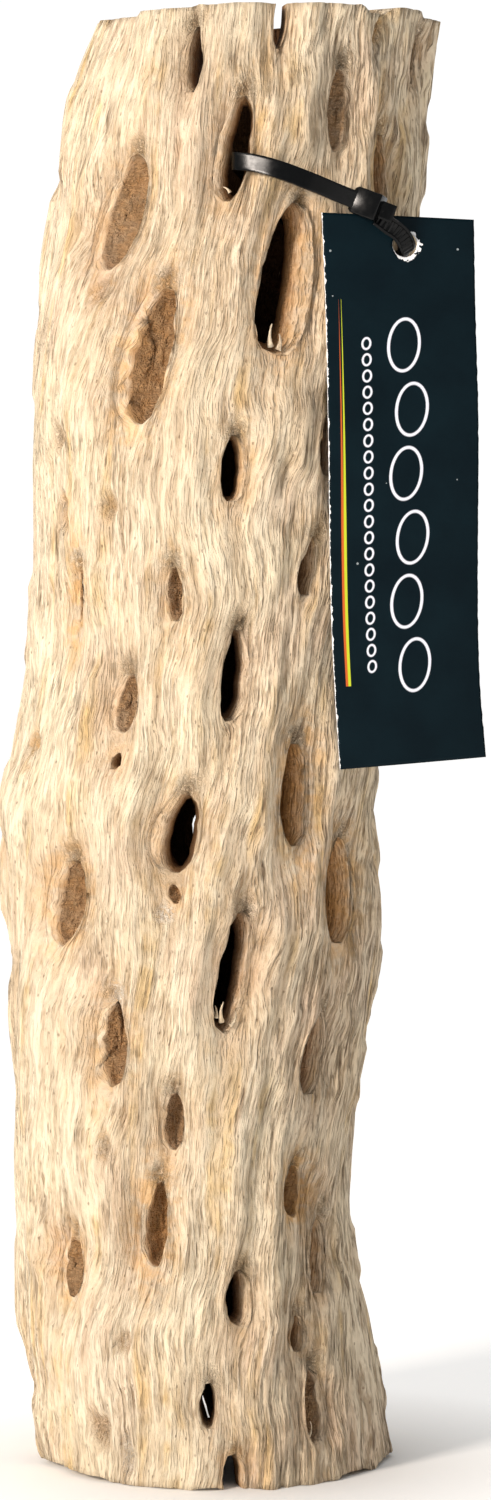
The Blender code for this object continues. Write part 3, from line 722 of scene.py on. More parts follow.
def relief(turn, up, fibre, on_skin):
    """Height of the fine relief in millimetres, and where it is crack, crust, orange, pale or low."""
    radius_mm = MEAN_RADIUS / MM
    gx, gy = radius_mm * np.cos(fibre), radius_mm * np.sin(fibre)
    gz = up / MM
    strand = np.zeros_like(turn)
    crack = np.zeros_like(turn)
    crust_noise = np.zeros_like(turn)
    for i, (x, y, z, t, h) in enumerate(zip(gx.tolist(), gy.tolist(), gz.tolist(), turn.tolist(), up.tolist())):
        broad = noise.noise((x / STRAND, y / STRAND, z / STRAND_LONG))
        narrow = noise.noise((x / RIDGE + 50, y / RIDGE, z / RIDGE_LONG))
        strand[i] = STRAND_HIGH * broad + RIDGE_HIGH * (0.5 - abs(narrow) * 2)
        split = noise.noise((x / CRACK, y / CRACK, z / CRACK_LONG + 80))
        crack[i] = max(0.0, split - 0.18)
        s = t * radius_mm
        crust_noise[i] = noise.turbulence((s / CRUST_GRAIN, h / MM / CRUST_GRAIN, 3.0), 3, False)
    crust = np.zeros_like(turn)
    warm, pale, extra = np.zeros_like(turn), np.zeros_like(turn), np.zeros_like(turn)
    broken = np.clip(0.5 + 2.2 * grown(turn, up, (9.0, 7 * MM), 90), 0, 1)
    for index, hole in enumerate(HOLES):
        reach, across, along = near_shape(hole, turn, up, 0)
        a, b = hole.wide * MM / 2, hole.tall * MM / 2
        size = min(1.0, b / (6 * MM))
        side = scoop_side(hole)
        from_edge = np.maximum(0, reach - 1) * a
        level = np.clip((1.2 - np.abs(along) / b) / 0.4, 0, 1)
        lip = np.exp(-((from_edge / (1.3 * MM)) ** 2)) * level
        dip = np.exp(-((from_edge / (2.6 * MM)) ** 2)) * level
        extra += np.where(across * side < 0, 0.35 * lip, -0.8 * dip) * size
        bank = np.exp(-(((from_edge - 3.8 * MM) / (1.7 * MM)) ** 2)) * level
        extra += 1.05 * bank * size
        crease = np.exp(-(((from_edge - 6.2 * MM) / (0.8 * MM)) ** 2)) * np.clip(1.1 - np.abs(along) / b, 0, 1)
        extra -= 1.2 * crease * size * broken * (across * side > 0)
        past = along - b
        above = np.exp(-((across / (1.7 * MM)) ** 2) - ((past - 0.8 * MM) / (2.2 * MM)) ** 2) * (reach > 0.95)
        crust = np.maximum(crust, above * size)
        below = -along - b
        for beyond, reach_mm in ((past, 6.0), (below, 9.0)):
            groove = np.exp(-((across / (0.9 * MM)) ** 2)) * np.exp(-np.maximum(beyond, 0) / (reach_mm * MM / 2))
            extra -= 1.0 * groove * (beyond > 0) * size
        tint = max(hole.warm, ((index * 37) % 11) / 20)
        near = np.exp(-((from_edge / (2.5 * MM)) ** 2)) * (reach < 4)
        warm = np.maximum(warm, near * tint)
    ragged = 1.1 + 0.5 * grown(turn, up, (16.0, 2.4 * MM), 120) + 0.3 * grown(turn, up, (40.0, 1.0 * MM), 130)
    for scar in SCARS:
        reach, _, _ = near_shape(scar, turn, up, 0)
        pit = np.exp(-((reach * ragged) ** 5))
        extra -= scar.deep * pit
        warm = np.maximum(warm, pit * scar.warm)
        pale = np.maximum(pale, -pit * scar.warm)
        crust = np.maximum(crust, 0.45 * pit)
    # How sunk the skin is round the holes and in its dips: the finish darkens it there as painted shade
    low = np.clip(hollows(turn, up) / (2.4 * MM) + np.maximum(-extra, 0) * 0.6, 0, 1)
    high = strand - CRACK_DEEP * np.minimum(crack * 3, 1) + extra + CRUST_HIGH * crust * (crust_noise - 0.55) * 2
    crack = np.minimum(crack * 3, 1) * on_skin
    return high * on_skin, {"crack": crack, "crust": crust, "warm": warm, "pale": pale, "low": low}


# The sawn ends aren't flat: middle and half width of a dip in degrees, and its depth in millimetres
TOP_DIPS = [(-76, 27, 1.5), (-42, 16, 0.6), (40, 6, 1.4), (80, 15, 1.1), (150, 20, 0.8), (-140, 15, 0.9)]
FOOT_DIPS = [(-64, 26, 0.9), (-3, 4, 0.5), (52, 9, 0.7), (80, 14, 0.9), (130, 12, 0.7), (-150, 22, 0.8)]
RIM_REACH = 14 * MM


def rim_shift(turn, up):
    """How far the dips in the sawn ends move a place, in metres: down at the top and up at the foot."""
    shift = np.zeros_like(turn)
    for dips, share in ((TOP_DIPS, (up - LENGTH) / RIM_REACH + 1), (FOOT_DIPS, 1 - up / RIM_REACH)):
        share = np.clip(share, 0, 1)
        drop = 0.12 + 0.3 * grown(turn, np.zeros_like(turn), (9.0, 1.0), 30)
        for middle, half, deep in dips:
            away = np.abs((np.degrees(turn) - middle + 180) % 360 - 180)
            drop = np.maximum(drop, deep * np.clip((half + 1.5 - away) / 3, 0, 1))
        shift += (1 if dips is FOOT_DIPS else -1) * drop * MM * share**1.5
    return shift


# %% From places to points


def shape_wood(bm, layers, name):
    """Moves each point of the wood to its place and makes the object, with what its finish needs."""
    verts = list(bm.verts)
    turn = np.array([v[layers.turn] for v in verts])
    up = np.array([v[layers.up] for v in verts])
    sink = np.array([v[layers.sink] for v in verts])
    floor_share = np.array([v[layers.pith] for v in verts])
    scoop = np.array([v[layers.scoop] for v in verts])
    # How far up its hole a point lies, rising from the foot to the top: the pith is darkened towards the top as painted
    # shade under the upper lip
    level = np.zeros_like(turn)
    for index, hole in enumerate(HOLES):
        reach, _, along = near_shape(hole, turn, up, 0.4 * MM)
        level = np.where(reach < 1, np.clip(along / hole.tall / MM * 1.4 + 0.4, 0, 1), level)
    fibre = np.array([v[layers.fibre] for v in verts])
    of_hole = [v[layers.hole] for v in verts]
    fibre += (SWAY * grown(turn, up, (2.2, 16 * MM), 60) + QUIVER * grown(turn, up, (7.0, 6 * MM), 70)) / MEAN_RADIUS
    on_skin = np.clip(1 - sink * 9, 0, 1)
    high, shown = relief(turn, up, fibre, on_skin)
    radius = (1 - sink) * outer_radius(turn, up) + sink * inner_radius(turn, up) + high * MM
    rough = grown(turn, up, (28.0, 1.1 * MM), 7) + 0.9 * grown(turn, up, (12.0, 2.6 * MM), 17)
    radius += 0.7 * MM * floor_share * rough
    x = np.interp(up, table_z, table[:, 0]) + radius * np.sin(turn)
    y = np.interp(up, table_z, table[:, 1]) - radius * np.cos(turn)
    z = up + rim_shift(turn, up)
    for vert, place in zip(verts, zip(x.tolist(), y.tolist(), z.tolist())):
        vert.co = place
    bm.normal_update()
    mesh = bpy.data.meshes.new(name)
    bm.to_mesh(mesh)
    bm.free()
    for label in (*Layers._fields, "start_turn", "start_up"):
        if label in mesh.attributes:
            mesh.attributes.remove(mesh.attributes[label])
    deep = np.maximum(sink, 0) * WALL / MM
    sawn = ((up < 1e-6) | (up > LENGTH - 1e-6)) & np.array([v < 0 for v in of_hole]) & (sink < 1.0)
    out = MEAN_RADIUS / MM - deep
    grain = np.stack((out * np.cos(fibre), out * np.sin(fibre), up / MM / GRAIN_STRETCH), axis=1)
    mesh.attributes.new("grain", "FLOAT_VECTOR", "POINT").data.foreach_set("vector", grain.ravel())
    depth = np.where(sawn, 0.0, deep)
    shares = {"sink": depth, "pith": floor_share, "scoop": scoop, **shown, "level": level, "sawn": sawn * deep}
    for label, values in shares.items():
        mesh.attributes.new(label, "FLOAT", "POINT").data.foreach_set("value", values)
    mesh.shade_smooth()
    made = new_object(name, mesh)
    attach(made, "root")
    print(name, len(mesh.vertices), "points, relief from", round(high.min(), 2), "to", round(high.max(), 2), "mm")
    return made


# A fibre wanders to the side by up to about a millimetre, and a pattern on the grain is this much longer
SWAY, QUIVER = 1.7 * MM, 0.5 * MM
GRAIN_STRETCH = 12
wood = shape_wood(skin, at, "cholla_wood_skin")

# %% The bore
bore_bm, bore_at = open_skin(BORE_COLUMNS, BORE_ROWS, THROUGH, INNER_MOUTH, 1.0)
for vert in bore_bm.verts:
    vert[bore_at.sink] = 1.0
bmesh.ops.reverse_faces(bore_bm, faces=bore_bm.faces)
bore = shape_wood(bore_bm, bore_at, "cholla_wood_bore")
for piece in (wood, bore):
    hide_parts("cholla_skeleton")

# %% [markdown]
# ## Splinters
#
# At the feet and lips of some holes a few fibres have torn loose and stand up as pale curled splinters.
# They could be pulled out of the skin itself, but its faces are too large for that. So each one is a small
# disc on the edge of its hole, which is extruded five times, and shrinks and turns a little each time.

# %% Splinters
# Hole, place on it across and along, way to the right, up and out, length, thickness and curl in degrees
SPLINTERS = [
    ((14.5, 88.9), -0.9, -8.6, (-0.25, 1.0, 0.3), 3.8, 0.55, -8),
    ((14.5, 88.9), 0.8, -9.2, (0.75, 0.8, 0.2), 2.8, 0.45, 12),
    ((14.5, 88.9), -2.0, -8.0, (0.1, 1.0, 0.1), 2.2, 0.45, 6),
    ((18.5, 207.3), -1.2, -11.6, (-0.2, 1.0, 0.2), 4.0, 0.60, -6),
    ((18.5, 207.3), 0.2, -12.0, (0.3, 1.0, 0.3), 2.8, 0.65, 9),
    ((-3.5, 229.2), 0.6, -7.4, (-0.5, 1.0, 0.2), 1.6, 0.40, 12),
    ((40.0, 12.8), -1.2, -5.4, (0.2, 1.0, 0.4), 3.4, 0.28, 12),
    ((52.0, 38.6), -1.5, -4.8, (0.4, 1.0, 0.4), 2.2, 0.28, 14),
]

splinter_bm = bmesh.new()
for spot, across, along, (to_right, to_top, outwards), length, thick, curl in SPLINTERS:
    turn, up = on_hole(FRONT[spot], across * MM, along * MM)
    radius = float(outer_radius(np.array([turn]), np.array([up]))[0]) - 0.7 * MM
    middle_x, middle_y, _ = tube_at(up)
    right, out = Vector((math.cos(turn), math.sin(turn), 0)), Vector((math.sin(turn), -math.cos(turn), 0))
    foot = Vector((middle_x, middle_y, up)) + out * radius
    way = (right * to_right + Vector((0, 0, to_top)) + out * outwards).normalized()
    bend = Matrix.Rotation(math.radians(curl), 3, out)
    disc = Matrix.Translation(foot) @ way.to_track_quat("Z", "Y").to_matrix().to_4x4()
    ring = bmesh.ops.create_circle(splinter_bm, cap_ends=True, segments=6, radius=thick * MM, matrix=disc)["verts"]
    front = list({face for vert in ring for face in vert.link_faces})
    for step in range(1, 6):
        made = bmesh.ops.extrude_face_region(splinter_bm, geom=front)["geom"]
        if step > 1:
            bmesh.ops.delete(splinter_bm, geom=front, context="FACES_ONLY")
        front = [item for item in made if isinstance(item, bmesh.types.BMFace)]
        tip = [item for item in made if isinstance(item, bmesh.types.BMVert)]
        bmesh.ops.translate(splinter_bm, verts=tip, vec=way * length / 5 * MM)
        foot += way * length / 5 * MM
        smaller = Matrix.Scale(0.72, 3) @ bend
        bmesh.ops.transform(splinter_bm, verts=tip, matrix=smaller.to_4x4(), space=Matrix.Translation(-foot))
        way = bend @ way
bmesh.ops.recalc_face_normals(splinter_bm, faces=splinter_bm.faces)
splinter_mesh = bpy.data.meshes.new("cholla_splinters")
splinter_bm.to_mesh(splinter_mesh)
splinter_bm.free()
splinter_mesh.shade_smooth()
splinters = new_object("cholla_splinters", splinter_mesh)
along_them = [value / MM for vert in splinter_mesh.vertices for value in (vert.co.x, vert.co.y, vert.co.z / GRAIN_STRETCH)]
splinter_mesh.attributes.new("grain", "FLOAT_VECTOR", "POINT").data.foreach_set("vector", along_them)
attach(splinters, "root")
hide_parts("cholla_skeleton")
print(len(SPLINTERS), "splinters,", len(splinter_mesh.polygons), "faces")

# %% [markdown]
# ## Bone-dry wood
#
# The wood of a cholla is pale and hard, bleached by the sun and worn by sand. Its fibres show as fine
# dark lines, its rays as small dark pits, and its colour wanders between cream, honey and a pinkish grey.
# Inside the holes it is browner, and the floors of the blind holes are old pith, brown and fibrous. Shade is
# painted into the colour too: down the holes' walls and throats, under their lips, in the hollows round them,
# towards the top of each pit and on the grain of the right side.
# The lines read the `grain` attribute, which runs along the fibres, so they bend round every hole.

# %% Material of the wood


def dry_wood(name):
    """Bleached cactus wood. Dielectric, rough, with fine fissures along the grain."""
    made, tree, shader = new_material(name, Roughness=0.85, Specular_IOR_Level=0.2)
    grain = add(tree, "ShaderNodeAttribute", out="Vector", attribute_name="grain")
    place = add(tree, "ShaderNodeTexCoord", out="Object")
    given = {
        label: add(tree, "ShaderNodeAttribute", out="Fac", attribute_name=label)
        for label in ("sink", "pith", "scoop", "crack", "crust", "warm", "pale", "low", "level", "sawn")
    }

    # Patterns from noise: what it lies on, its size, detail, roughness, and the two values that become
    # 0 and 1. On the grain, a size in millimetres counts across the fibres, twelve times that along.
    # Real fibres are 0.1 mm thick, too fine to show, so a line here is a bundle of a few.
    dashes = add(tree, "ShaderNodeMapping", {"Vector": grain, "Scale": (1, 1, 1.25)})
    patterns = [
        ("drift", place, 26 * MM, 2, 0.5, 0.36, 0.64),
        ("streak", grain, 2.0, 3, 0.6, 0.38, 0.64),
        ("honey", grain, 3.2, 2, 0.5, 0.54, 0.70),
        ("hair", dashes, 0.30, 2, 0.6, 0.52, 0.36),
        ("fibre", dashes, 0.46, 2, 0.6, 0.50, 0.36),
        ("fissure", grain, 0.8, 3, 0.7, 0.43, 0.33),
        ("split", grain, 1.5, 3, 0.7, 0.38, 0.30),
        ("blush", place, 15 * MM, 2, 0.5, 0.48, 0.66),
        ("fray", grain, 0.8, 3, 0.7, 0.35, 0.65),
        ("patch", place, 8 * MM, 3, 0.6, 0.40, 0.60),
        ("crumbs", place, 0.6 * MM, 3, 0.7, 0.40, 0.60),
        ("stain", place, 3 * MM, 3, 0.6, 0.42, 0.60),
        ("mottle", place, 1.3 * MM, 3, 0.65, 0.38, 0.62),
    ]
    seen = dict(given)
    for label, vector, size, detail, rough, low, high in patterns:
        value = add(
            tree, "ShaderNodeTexNoise", {"Vector": vector, "Scale": 1 / size, "Detail": detail, "Roughness": rough}
        )
        seen[label] = add(tree, "ShaderNodeMapRange", {"Value": value, "From Min": low, "From Max": high})
    short = add(tree, "ShaderNodeMapping", {"Vector": grain, "Scale": (1, 1, 5)})
    pore = add(tree, "ShaderNodeTexVoronoi", {"Vector": short, "Scale": 1 / 1.1}, out="Distance")
    seen["pore"] = add(tree, "ShaderNodeMapRange", {"Value": pore, "From Min": 0.13, "From Max": 0.07})
    flat = add(tree, "ShaderNodeMapping", {"Vector": place, "Scale": (500, 500, 2200)})
    threads = add(tree, "ShaderNodeTexNoise", {"Vector": flat, "Scale": 1.0, "Detail": 4, "Roughness": 0.65, "Distortion": 0.6})
    seen["threads"] = add(tree, "ShaderNodeMapRange", {"Value": threads, "From Min": 0.34, "From Max": 0.64})
    # How far down a hole's wall a point lies, counted from lower down on the lit scoop side: the inner wood's brown,
    # and painted shade that starts sooner on the lip side
    wall_from = add(tree, "ShaderNodeMath", {0: seen["scoop"], 1: 0.9, 2: 0.2}, operation="MULTIPLY_ADD")
    beyond = add(tree, "ShaderNodeMath", {0: seen["sink"], 1: wall_from}, operation="SUBTRACT")
    seen["wall"] = add(tree, "ShaderNodeMapRange", {"Value": beyond, "From Min": 0.0, "From Max": 2.2})
    frayed = add(tree, "ShaderNodeMath", {0: seen["fray"], 1: -0.9}, operation="MULTIPLY")
    frayed = add(tree, "ShaderNodeMath", {0: seen["pith"], 1: 2.2, 2: frayed}, operation="MULTIPLY_ADD")
    seen["old pith"] = add(tree, "ShaderNodeMapRange", {"Value": frayed, "From Min": 0.0, "From Max": 1.0})
    # The lip side of a hole's wall, away from the scoop: painted shade under the lip
    under_lip_shade = add(tree, "ShaderNodeMath", {0: seen["scoop"], 1: -1.3, 2: 1.0}, operation="MULTIPLY_ADD", use_clamp=True)
    seen["under_lip_shade"] = add(tree, "ShaderNodeMath", {0: under_lip_shade, 1: seen["pith"]}, operation="SUBTRACT", use_clamp=True)
    seen["inner"] = add(tree, "ShaderNodeMapRange", {"Value": seen["sink"], "From Min": 0.3, "From Max": 1.3})
    # The right side, which the key light hardly reaches: its grain is darker and greyer there as painted shade
    side = add(tree, "ShaderNodeSeparateXYZ", {0: place}, out="X")
    seen["shaded_right_side"] = add(tree, "ShaderNodeMapRange", {"Value": side, "From Min": -8 * MM, "From Max": 28 * MM})
    # From 2.5 to 6.5 mm down: painted shade of the deep throat, over the inner wood's brown
    seen["deep"] = add(tree, "ShaderNodeMapRange", {"Value": seen["sink"], "From Min": 2.5, "From Max": 6.5})

    # Coats of colour, one over the other: which patterns show it, how strongly, and the colour
    coats = [
        ("drift", None, 1.0, "#DEC9AB"),
        ("blush", None, 0.5, "#E2C6AD"),
        ("streak", None, 0.75, "#F2E6CC"),
        ("honey", "patch", 0.7, "#E3BC74"),
        ("hair", "patch", 0.55, "#A88D69"),
        ("fibre", None, 0.30, "#AE9470"),
        # Painted shade: darker in the hollows round the holes
        ("low", None, 0.28, "#C9A586"),
        ("low", "mottle", 0.38, "#B0906C"),
        ("fissure", "patch", 0.55, "#7C6145"),
        ("split", "patch", 0.40, "#6E5238"),
        ("crack", None, 0.30, "#8A6D4E"),
        # Painted shade: darker lines and a greyer tone on the right side, away from the key light
        ("fibre", "shaded_right_side", 0.50, "#846A4E"),
        ("fissure", "shaded_right_side", 0.62, "#604B36"),
        ("streak", "shaded_right_side", 0.22, "#C9AE94"),
        ("pore", None, 0.5, "#6A4E35"),
        ("crust", "crumbs", 0.8, "#7F6A4E"),
        ("warm", "stain", 0.6, "#E0AA62"),
        ("pale", "crumbs", 0.85, "#F7EEDF"),
        ("sawn", "mottle", 0.05, "#8F6C48"),
        ("sawn", "patch", 0.04, "#B48B5E"),
        # Hole walls: the inner wood's brown, deepening down the wall as painted shade
        ("wall", "mottle", 0.55, "#B98F6C"),
        ("wall", None, 0.62, "#956639"),
        # Painted shade: near-black brown down in the throats of the holes
        ("deep", None, 0.88, "#46270F"),
        ("old pith", None, 0.9, "#D8BA99"),
        # Painted shade: old pith darker towards the top of each pit, under its upper lip
        ("old pith", "level", 0.52, "#8E6438"),
        ("old pith", "threads", 0.42, "#84603C"),
        ("old pith", "mottle", 0.50, "#EACBA6"),
        ("old pith", "crumbs", 0.24, "#60432A"),
        ("old pith", "stain", 0.40, "#D8A269"),
        ("inner", "warm", 0.50, "#CC8E42"),
        # Painted shade: dark brown under the lips of the holes
        ("inner", "under_lip_shade", 0.65, "#452C15"),
    ]
    paint = colour("#EAD9BA")
    for first, second, strength, code in coats:
        share = add(tree, "ShaderNodeMath", {0: seen[first], 1: strength}, operation="MULTIPLY")
        if second:
            share = add(tree, "ShaderNodeMath", {0: share, 1: seen[second]}, operation="MULTIPLY")
        paint = add(
            tree, "ShaderNodeMix", {0: share, 6: paint, 7: colour(code)}, out=2, data_type="RGBA", clamp_factor=True
        )
    tree.links.new(paint, shader.inputs["Base Color"])

    # The relief that is finer than the mesh: lines and pores are cut in, crumbs and threads stand up
    relief_parts = [
        ("hair", None, -0.25), ("fibre", None, -0.6), ("fissure", "patch", -0.9), ("split", "patch", -0.9),
        ("fibre", "shaded_right_side", -0.7), ("fissure", "shaded_right_side", -0.9), ("pore", None, -0.4), ("crumbs", "crust", 1.5), ("threads", "old pith", -1.8), ("mottle", "old pith", 1.8), ("mottle", "wall", 0.8),
        ("crumbs", None, 0.12),
    ]
    height = 0.0
    for first, second, strength in relief_parts:
        part = seen[first]
        if second:
            part = add(tree, "ShaderNodeMath", {0: part, 1: seen[second]}, operation="MULTIPLY")
        height = add(tree, "ShaderNodeMath", {0: part, 1: strength, 2: height}, operation="MULTIPLY_ADD")
    bump = add(tree, "ShaderNodeBump", {"Height": height, "Strength": 1.0, "Distance": 0.34 * MM})
    tree.links.new(bump, shader.inputs["Normal"])
    return made


wood_finish = dry_wood("bleached_cholla_wood")
for piece in (wood, bore, splinters):
    piece.data.materials.append(wood_finish)

# %% [markdown]
# ## Cable tie
#
# The tie is a flat nylon band that leaves the foot of its head, goes through the card's hole, into the
# wood and out again, and is pulled back through the head. It could be a curve with a bevel, but a curve
# can't hold the rails and rungs of its ridged side. So one cross-section is extruded along the same
# route as the CAD's, ring after ring, and the rungs come from rings that are less deep.

# %% Route of the band
BAND_WIDTH, BAND_THICKNESS = 3.0, 1.1
HEAD_SIZE = (4.4, 3.8, 4.6)
HEAD_MIDDLE = Vector((25.7, -32.9, 219.6))
HEAD_WAY = Vector((0.93, 0.05, -0.36)).normalized()
HEAD_ACROSS = Vector((0.36, 0.0, 0.93)).normalized()
HEAD_TURN = 20.0
CUT_END = 4.6

# Each row is a point of the band's middle and the way that its width lies, in the CAD's millimetres
BAND_LINE = [
    ((27.2, -32.7, 217.6), (0.74, 0.0, 0.67)),
    ((28.8, -32.3, 216.4), (0.74, 0.0, 0.67)),
    ((30.9, -31.0, 215.0), (0.74, 0.0, 0.67)),
    ((32.1, -29.1, 213.3), (0.80, 0.0, 0.60)),
    ((32.2, -26.8, 211.7), (0.60, 0.0, 0.80)),
    ((30.3, -24.5, 210.5), (0.20, 0.0, 0.98)),
    ((27.75, -22.4, 210.0), (0.0, 0.0, 1.0)),
    ((24.4, -19.6, 209.8), (0.0, 0.0, 1.0)),
    ((20.6, -16.6, 210.9), (0.0, 0.0, 1.0)),
    ((16.2, -14.6, 214.2), (0.0, 0.0, 1.0)),
    ((11.5, -14.8, 219.2), (0.0, 0.0, 1.0)),
    ((7.2, -17.5, 223.8), (0.0, 0.0, 1.0)),
    ((4.5, -21.5, 226.2), (0.0, 0.0, 1.0)),
    ((3.6, -25.0, 226.9), (0.0, 0.0, 1.0)),
    ((3.2, -28.5, 227.1), (0.0, 0.0, 1.0)),
    ((3.1, -31.2, 227.1), (0.0, 0.0, 1.0)),
    ((4.0, -32.3, 226.9), (0.10, 0.06, 0.99)),
    ((6.6, -33.6, 226.5), (0.15, 0.12, 0.98)),
    ((10.7, -35.1, 225.3), (0.25, 0.12, 0.96)),
    ((16.0, -35.4, 223.3), (0.34, 0.08, 0.94)),
    ((21.0, -34.2, 221.3), (0.36, 0.02, 0.93)),
]
RIDGED_PART = 6
FINE_STEPS, PLAIN_STEPS = 12, 5
RUNG_PITCH = 0.9

# The cross-section, in half widths and half thicknesses, with rails beside a groove on its ridged side
SECTION = [(-1, -1), (1, -1), (1, 1), (0.70, 1), (0.62, 0.3), (-0.62, 0.3), (-0.70, 1), (-1, 1)]


def curve_point(a, b, c, d, t):
    """A smooth curve from b to c that also heeds the points before and after."""
    return 0.5 * (2 * b + (c - a) * t + (2 * a - 5 * b + 4 * c - d) * t**2 + (3 * b - a - 3 * c + d) * t**3)


line = [Vector(p) for p, _ in BAND_LINE] + [HEAD_MIDDLE, HEAD_MIDDLE + HEAD_WAY * CUT_END]
widths = [Vector(w) for _, w in BAND_LINE] + [HEAD_ACROSS, HEAD_ACROSS]
stations = []
for i in range(len(line) - 1):
    four = [line[min(max(k, 0), len(line) - 1)] for k in range(i - 1, i + 3)]
    steps = FINE_STEPS if i < RIDGED_PART else PLAIN_STEPS
    for step in range(steps):
        stations.append((curve_point(*four, step / steps), widths[i].lerp(widths[i + 1], step / steps), i < RIDGED_PART))
stations.append((line[-1], HEAD_ACROSS, False))
run = [0.0]
for (a, _, _), (b, _, _) in zip(stations, stations[1:]):
    run.append(run[-1] + (b - a).length)
print("band", round(run[-1], 1), "mm long,", len(stations), "stations")


# %% The band and its head


def section_at(index):
    """The points of the band's cross-section at one station, in metres in the frame."""
    point, width, ridged = stations[index]
    way = stations[min(index + 1, len(stations) - 1)][0] - stations[max(index - 1, 0)][0]
    way.normalize()
    width = (width - way * width.dot(way)).normalized()
    thick = way.cross(width).normalized()
    rung = 0.5 + 0.5 * math.cos(2 * math.pi * run[index] / RUNG_PITCH)
    points = []
    for across, out in SECTION:
        if abs(across) < 0.65:
            out = 0.35 + 0.5 * rung if ridged else 1.0
        points.append((point + width * across * BAND_WIDTH / 2 + thick * out * BAND_THICKNESS / 2) * MM - MIDDLE)
    return points


tie_bm = bmesh.new()
corner = tie_bm.verts.layers.int.new("corner")
ring = bmesh.ops.create_circle(tie_bm, cap_ends=True, segments=len(SECTION), radius=1.0)["verts"]
for k, (vert, place) in enumerate(zip(ring, section_at(0))):
    vert[corner], vert.co = k, place
front = tie_bm.faces[:]
for index in range(1, len(stations)):
    made = bmesh.ops.extrude_face_region(tie_bm, geom=front)["geom"]
    if index > 1:
        bmesh.ops.delete(tie_bm, geom=front, context="FACES_ONLY")
    front = [item for item in made if isinstance(item, bmesh.types.BMFace)]
    places = section_at(index)
    for vert in front[0].verts:
        vert.co = places[vert[corner]]
bmesh.ops.recalc_face_normals(tie_bm, faces=tie_bm.faces)
band_faces = len(tie_bm.faces)

# The head is a bevelled block with a sunk window where the band comes out
turned_way = Matrix.Rotation(math.radians(HEAD_TURN), 3, HEAD_ACROSS) @ HEAD_WAY
if turned_way.y > HEAD_WAY.y:
    turned_way = Matrix.Rotation(math.radians(-HEAD_TURN), 3, HEAD_ACROSS) @ HEAD_WAY
back = turned_way.cross(HEAD_ACROSS).normalized()
axes = Matrix((turned_way, back, HEAD_ACROSS)).transposed().to_4x4()
sizes = Matrix.Diagonal((*[size * MM for size in HEAD_SIZE], 1))
head = bmesh.ops.create_cube(tie_bm, size=1, matrix=Matrix.Translation(HEAD_MIDDLE * MM - MIDDLE) @ axes @ sizes)
head_faces = list({face for vert in head["verts"] for face in vert.link_faces})
exit_face = max(head_faces, key=lambda face: face.normal.dot(turned_way))
bmesh.ops.inset_individual(tie_bm, faces=[exit_face], thickness=0.55 * MM, depth=-0.6 * MM)
head_edges = list({edge for vert in head["verts"] for edge in vert.link_edges})
bmesh.ops.bevel(tie_bm, geom=head_edges, offset=0.22 * MM, affect="EDGES", segments=3, profile=0.5, material=-1)

tie_mesh = bpy.data.meshes.new("nylon_tie")
tie_bm.normal_update()
tie_bm.to_mesh(tie_mesh)
tie_bm.free()
tie = new_object("nylon_tie", tie_mesh)
soften = tie.modifiers.new("softened edges", "BEVEL")
soften.width = 0.10 * MM
soften.segments = 2
soften.limit_method = "ANGLE"
soften.angle_limit = math.radians(50)
tie_mesh.shade_smooth()
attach(tie, "root")
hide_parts("cable_tie")
print("tie:", band_faces, "faces in the band,", len(tie_mesh.polygons), "with the head")

# %% [markdown]
# ## Moulded black nylon
#
# The tie is injection-moulded polyamide 66, dyed black right through. The mould was polished, so the
# surface is glossy and mirrors the lamps as soft bluish patches, with tiny waves from shrinking.

# %% Material of the tie
nylon, tree, shader = new_material(
    "moulded_black_nylon", Base_Color=colour("#030405"), Roughness=0.2, IOR=1.53, Specular_IOR_Level=0.17
)
place = add(tree, "ShaderNodeTexCoord", out="Object")
waves = add(tree, "ShaderNodeTexNoise", {"Vector": place, "Scale": 1 / (3 * MM), "Detail": 0.0})
scuffs = add(tree, "ShaderNodeTexNoise", {"Vector": place, "Scale": 1 / (0.8 * MM), "Detail": 3.0})
rougher = add(tree, "ShaderNodeMapRange", {"Value": scuffs, "From Min": 0.4, "From Max": 0.7, "To Min": 0.17, "To Max": 0.25})
tree.links.new(rougher, shader.inputs["Roughness"])
bump = add(tree, "ShaderNodeBump", {"Height": waves, "Strength": 0.1, "Distance": 0.1 * MM})
tree.links.new(bump, shader.inputs["Normal"])
tie_mesh.materials.append(nylon)

# %% [markdown]
# ## Card tag
#
# The tag is a strip of coated card, cut with a blunt blade, so its white core shows along the edges. The
# hole is torn where the tie pulled at it. A grid takes the bent shape of the CAD's tag, loses the faces
# in the hole, and is then given its thickness, so that the torn rim is real.

# %% Shape of the tag
TAG_DOWN = [0.0, 0.16, 0.38, 0.70, 0.86, 1.0]
TAG_LEFT = [17.75, 18.4, 18.9, 19.4, 20.1, 21.0]
TAG_RIGHT = [43.7, 44.0, 44.6, 44.6, 45.0, 46.1]
TAG_TOP, TAG_FOOT = (218.5, 217.4), (123.8, 125.8)
TAG_TOP_BACK, TAG_FOOT_BACK = (-30.0, -27.4), (-28.2, -25.5)
TAG_BULGE = 0.5
CARD_THICKNESS = 0.5
CARD_HOLE = 4.2
CARD_HOLE_AT = Vector((31.9, -29.1, 213.1))
CARD_WIDE, CARD_TALL = 26.0, 94.0
CARD_CELLS = (60, 200)


def between(pair, t):
    return pair[0] * (1 - t) + pair[1] * t


def card_place(u, v):
    """A place on the card, from the left edge to the right and from the top down, in millimetres."""
    x = between((smooth_between(TAG_DOWN, TAG_LEFT, v), smooth_between(TAG_DOWN, TAG_RIGHT, v)), u)
    y = between((between(TAG_TOP_BACK, u), between(TAG_FOOT_BACK, u)), v) - TAG_BULGE * 4 * u * (1 - u)
    return Vector((x, y, between((between(TAG_TOP, u), between(TAG_FOOT, u)), v)))


def from_hole(place):
    return Vector((place.x - CARD_HOLE_AT.x, 0, place.z - CARD_HOLE_AT.z))


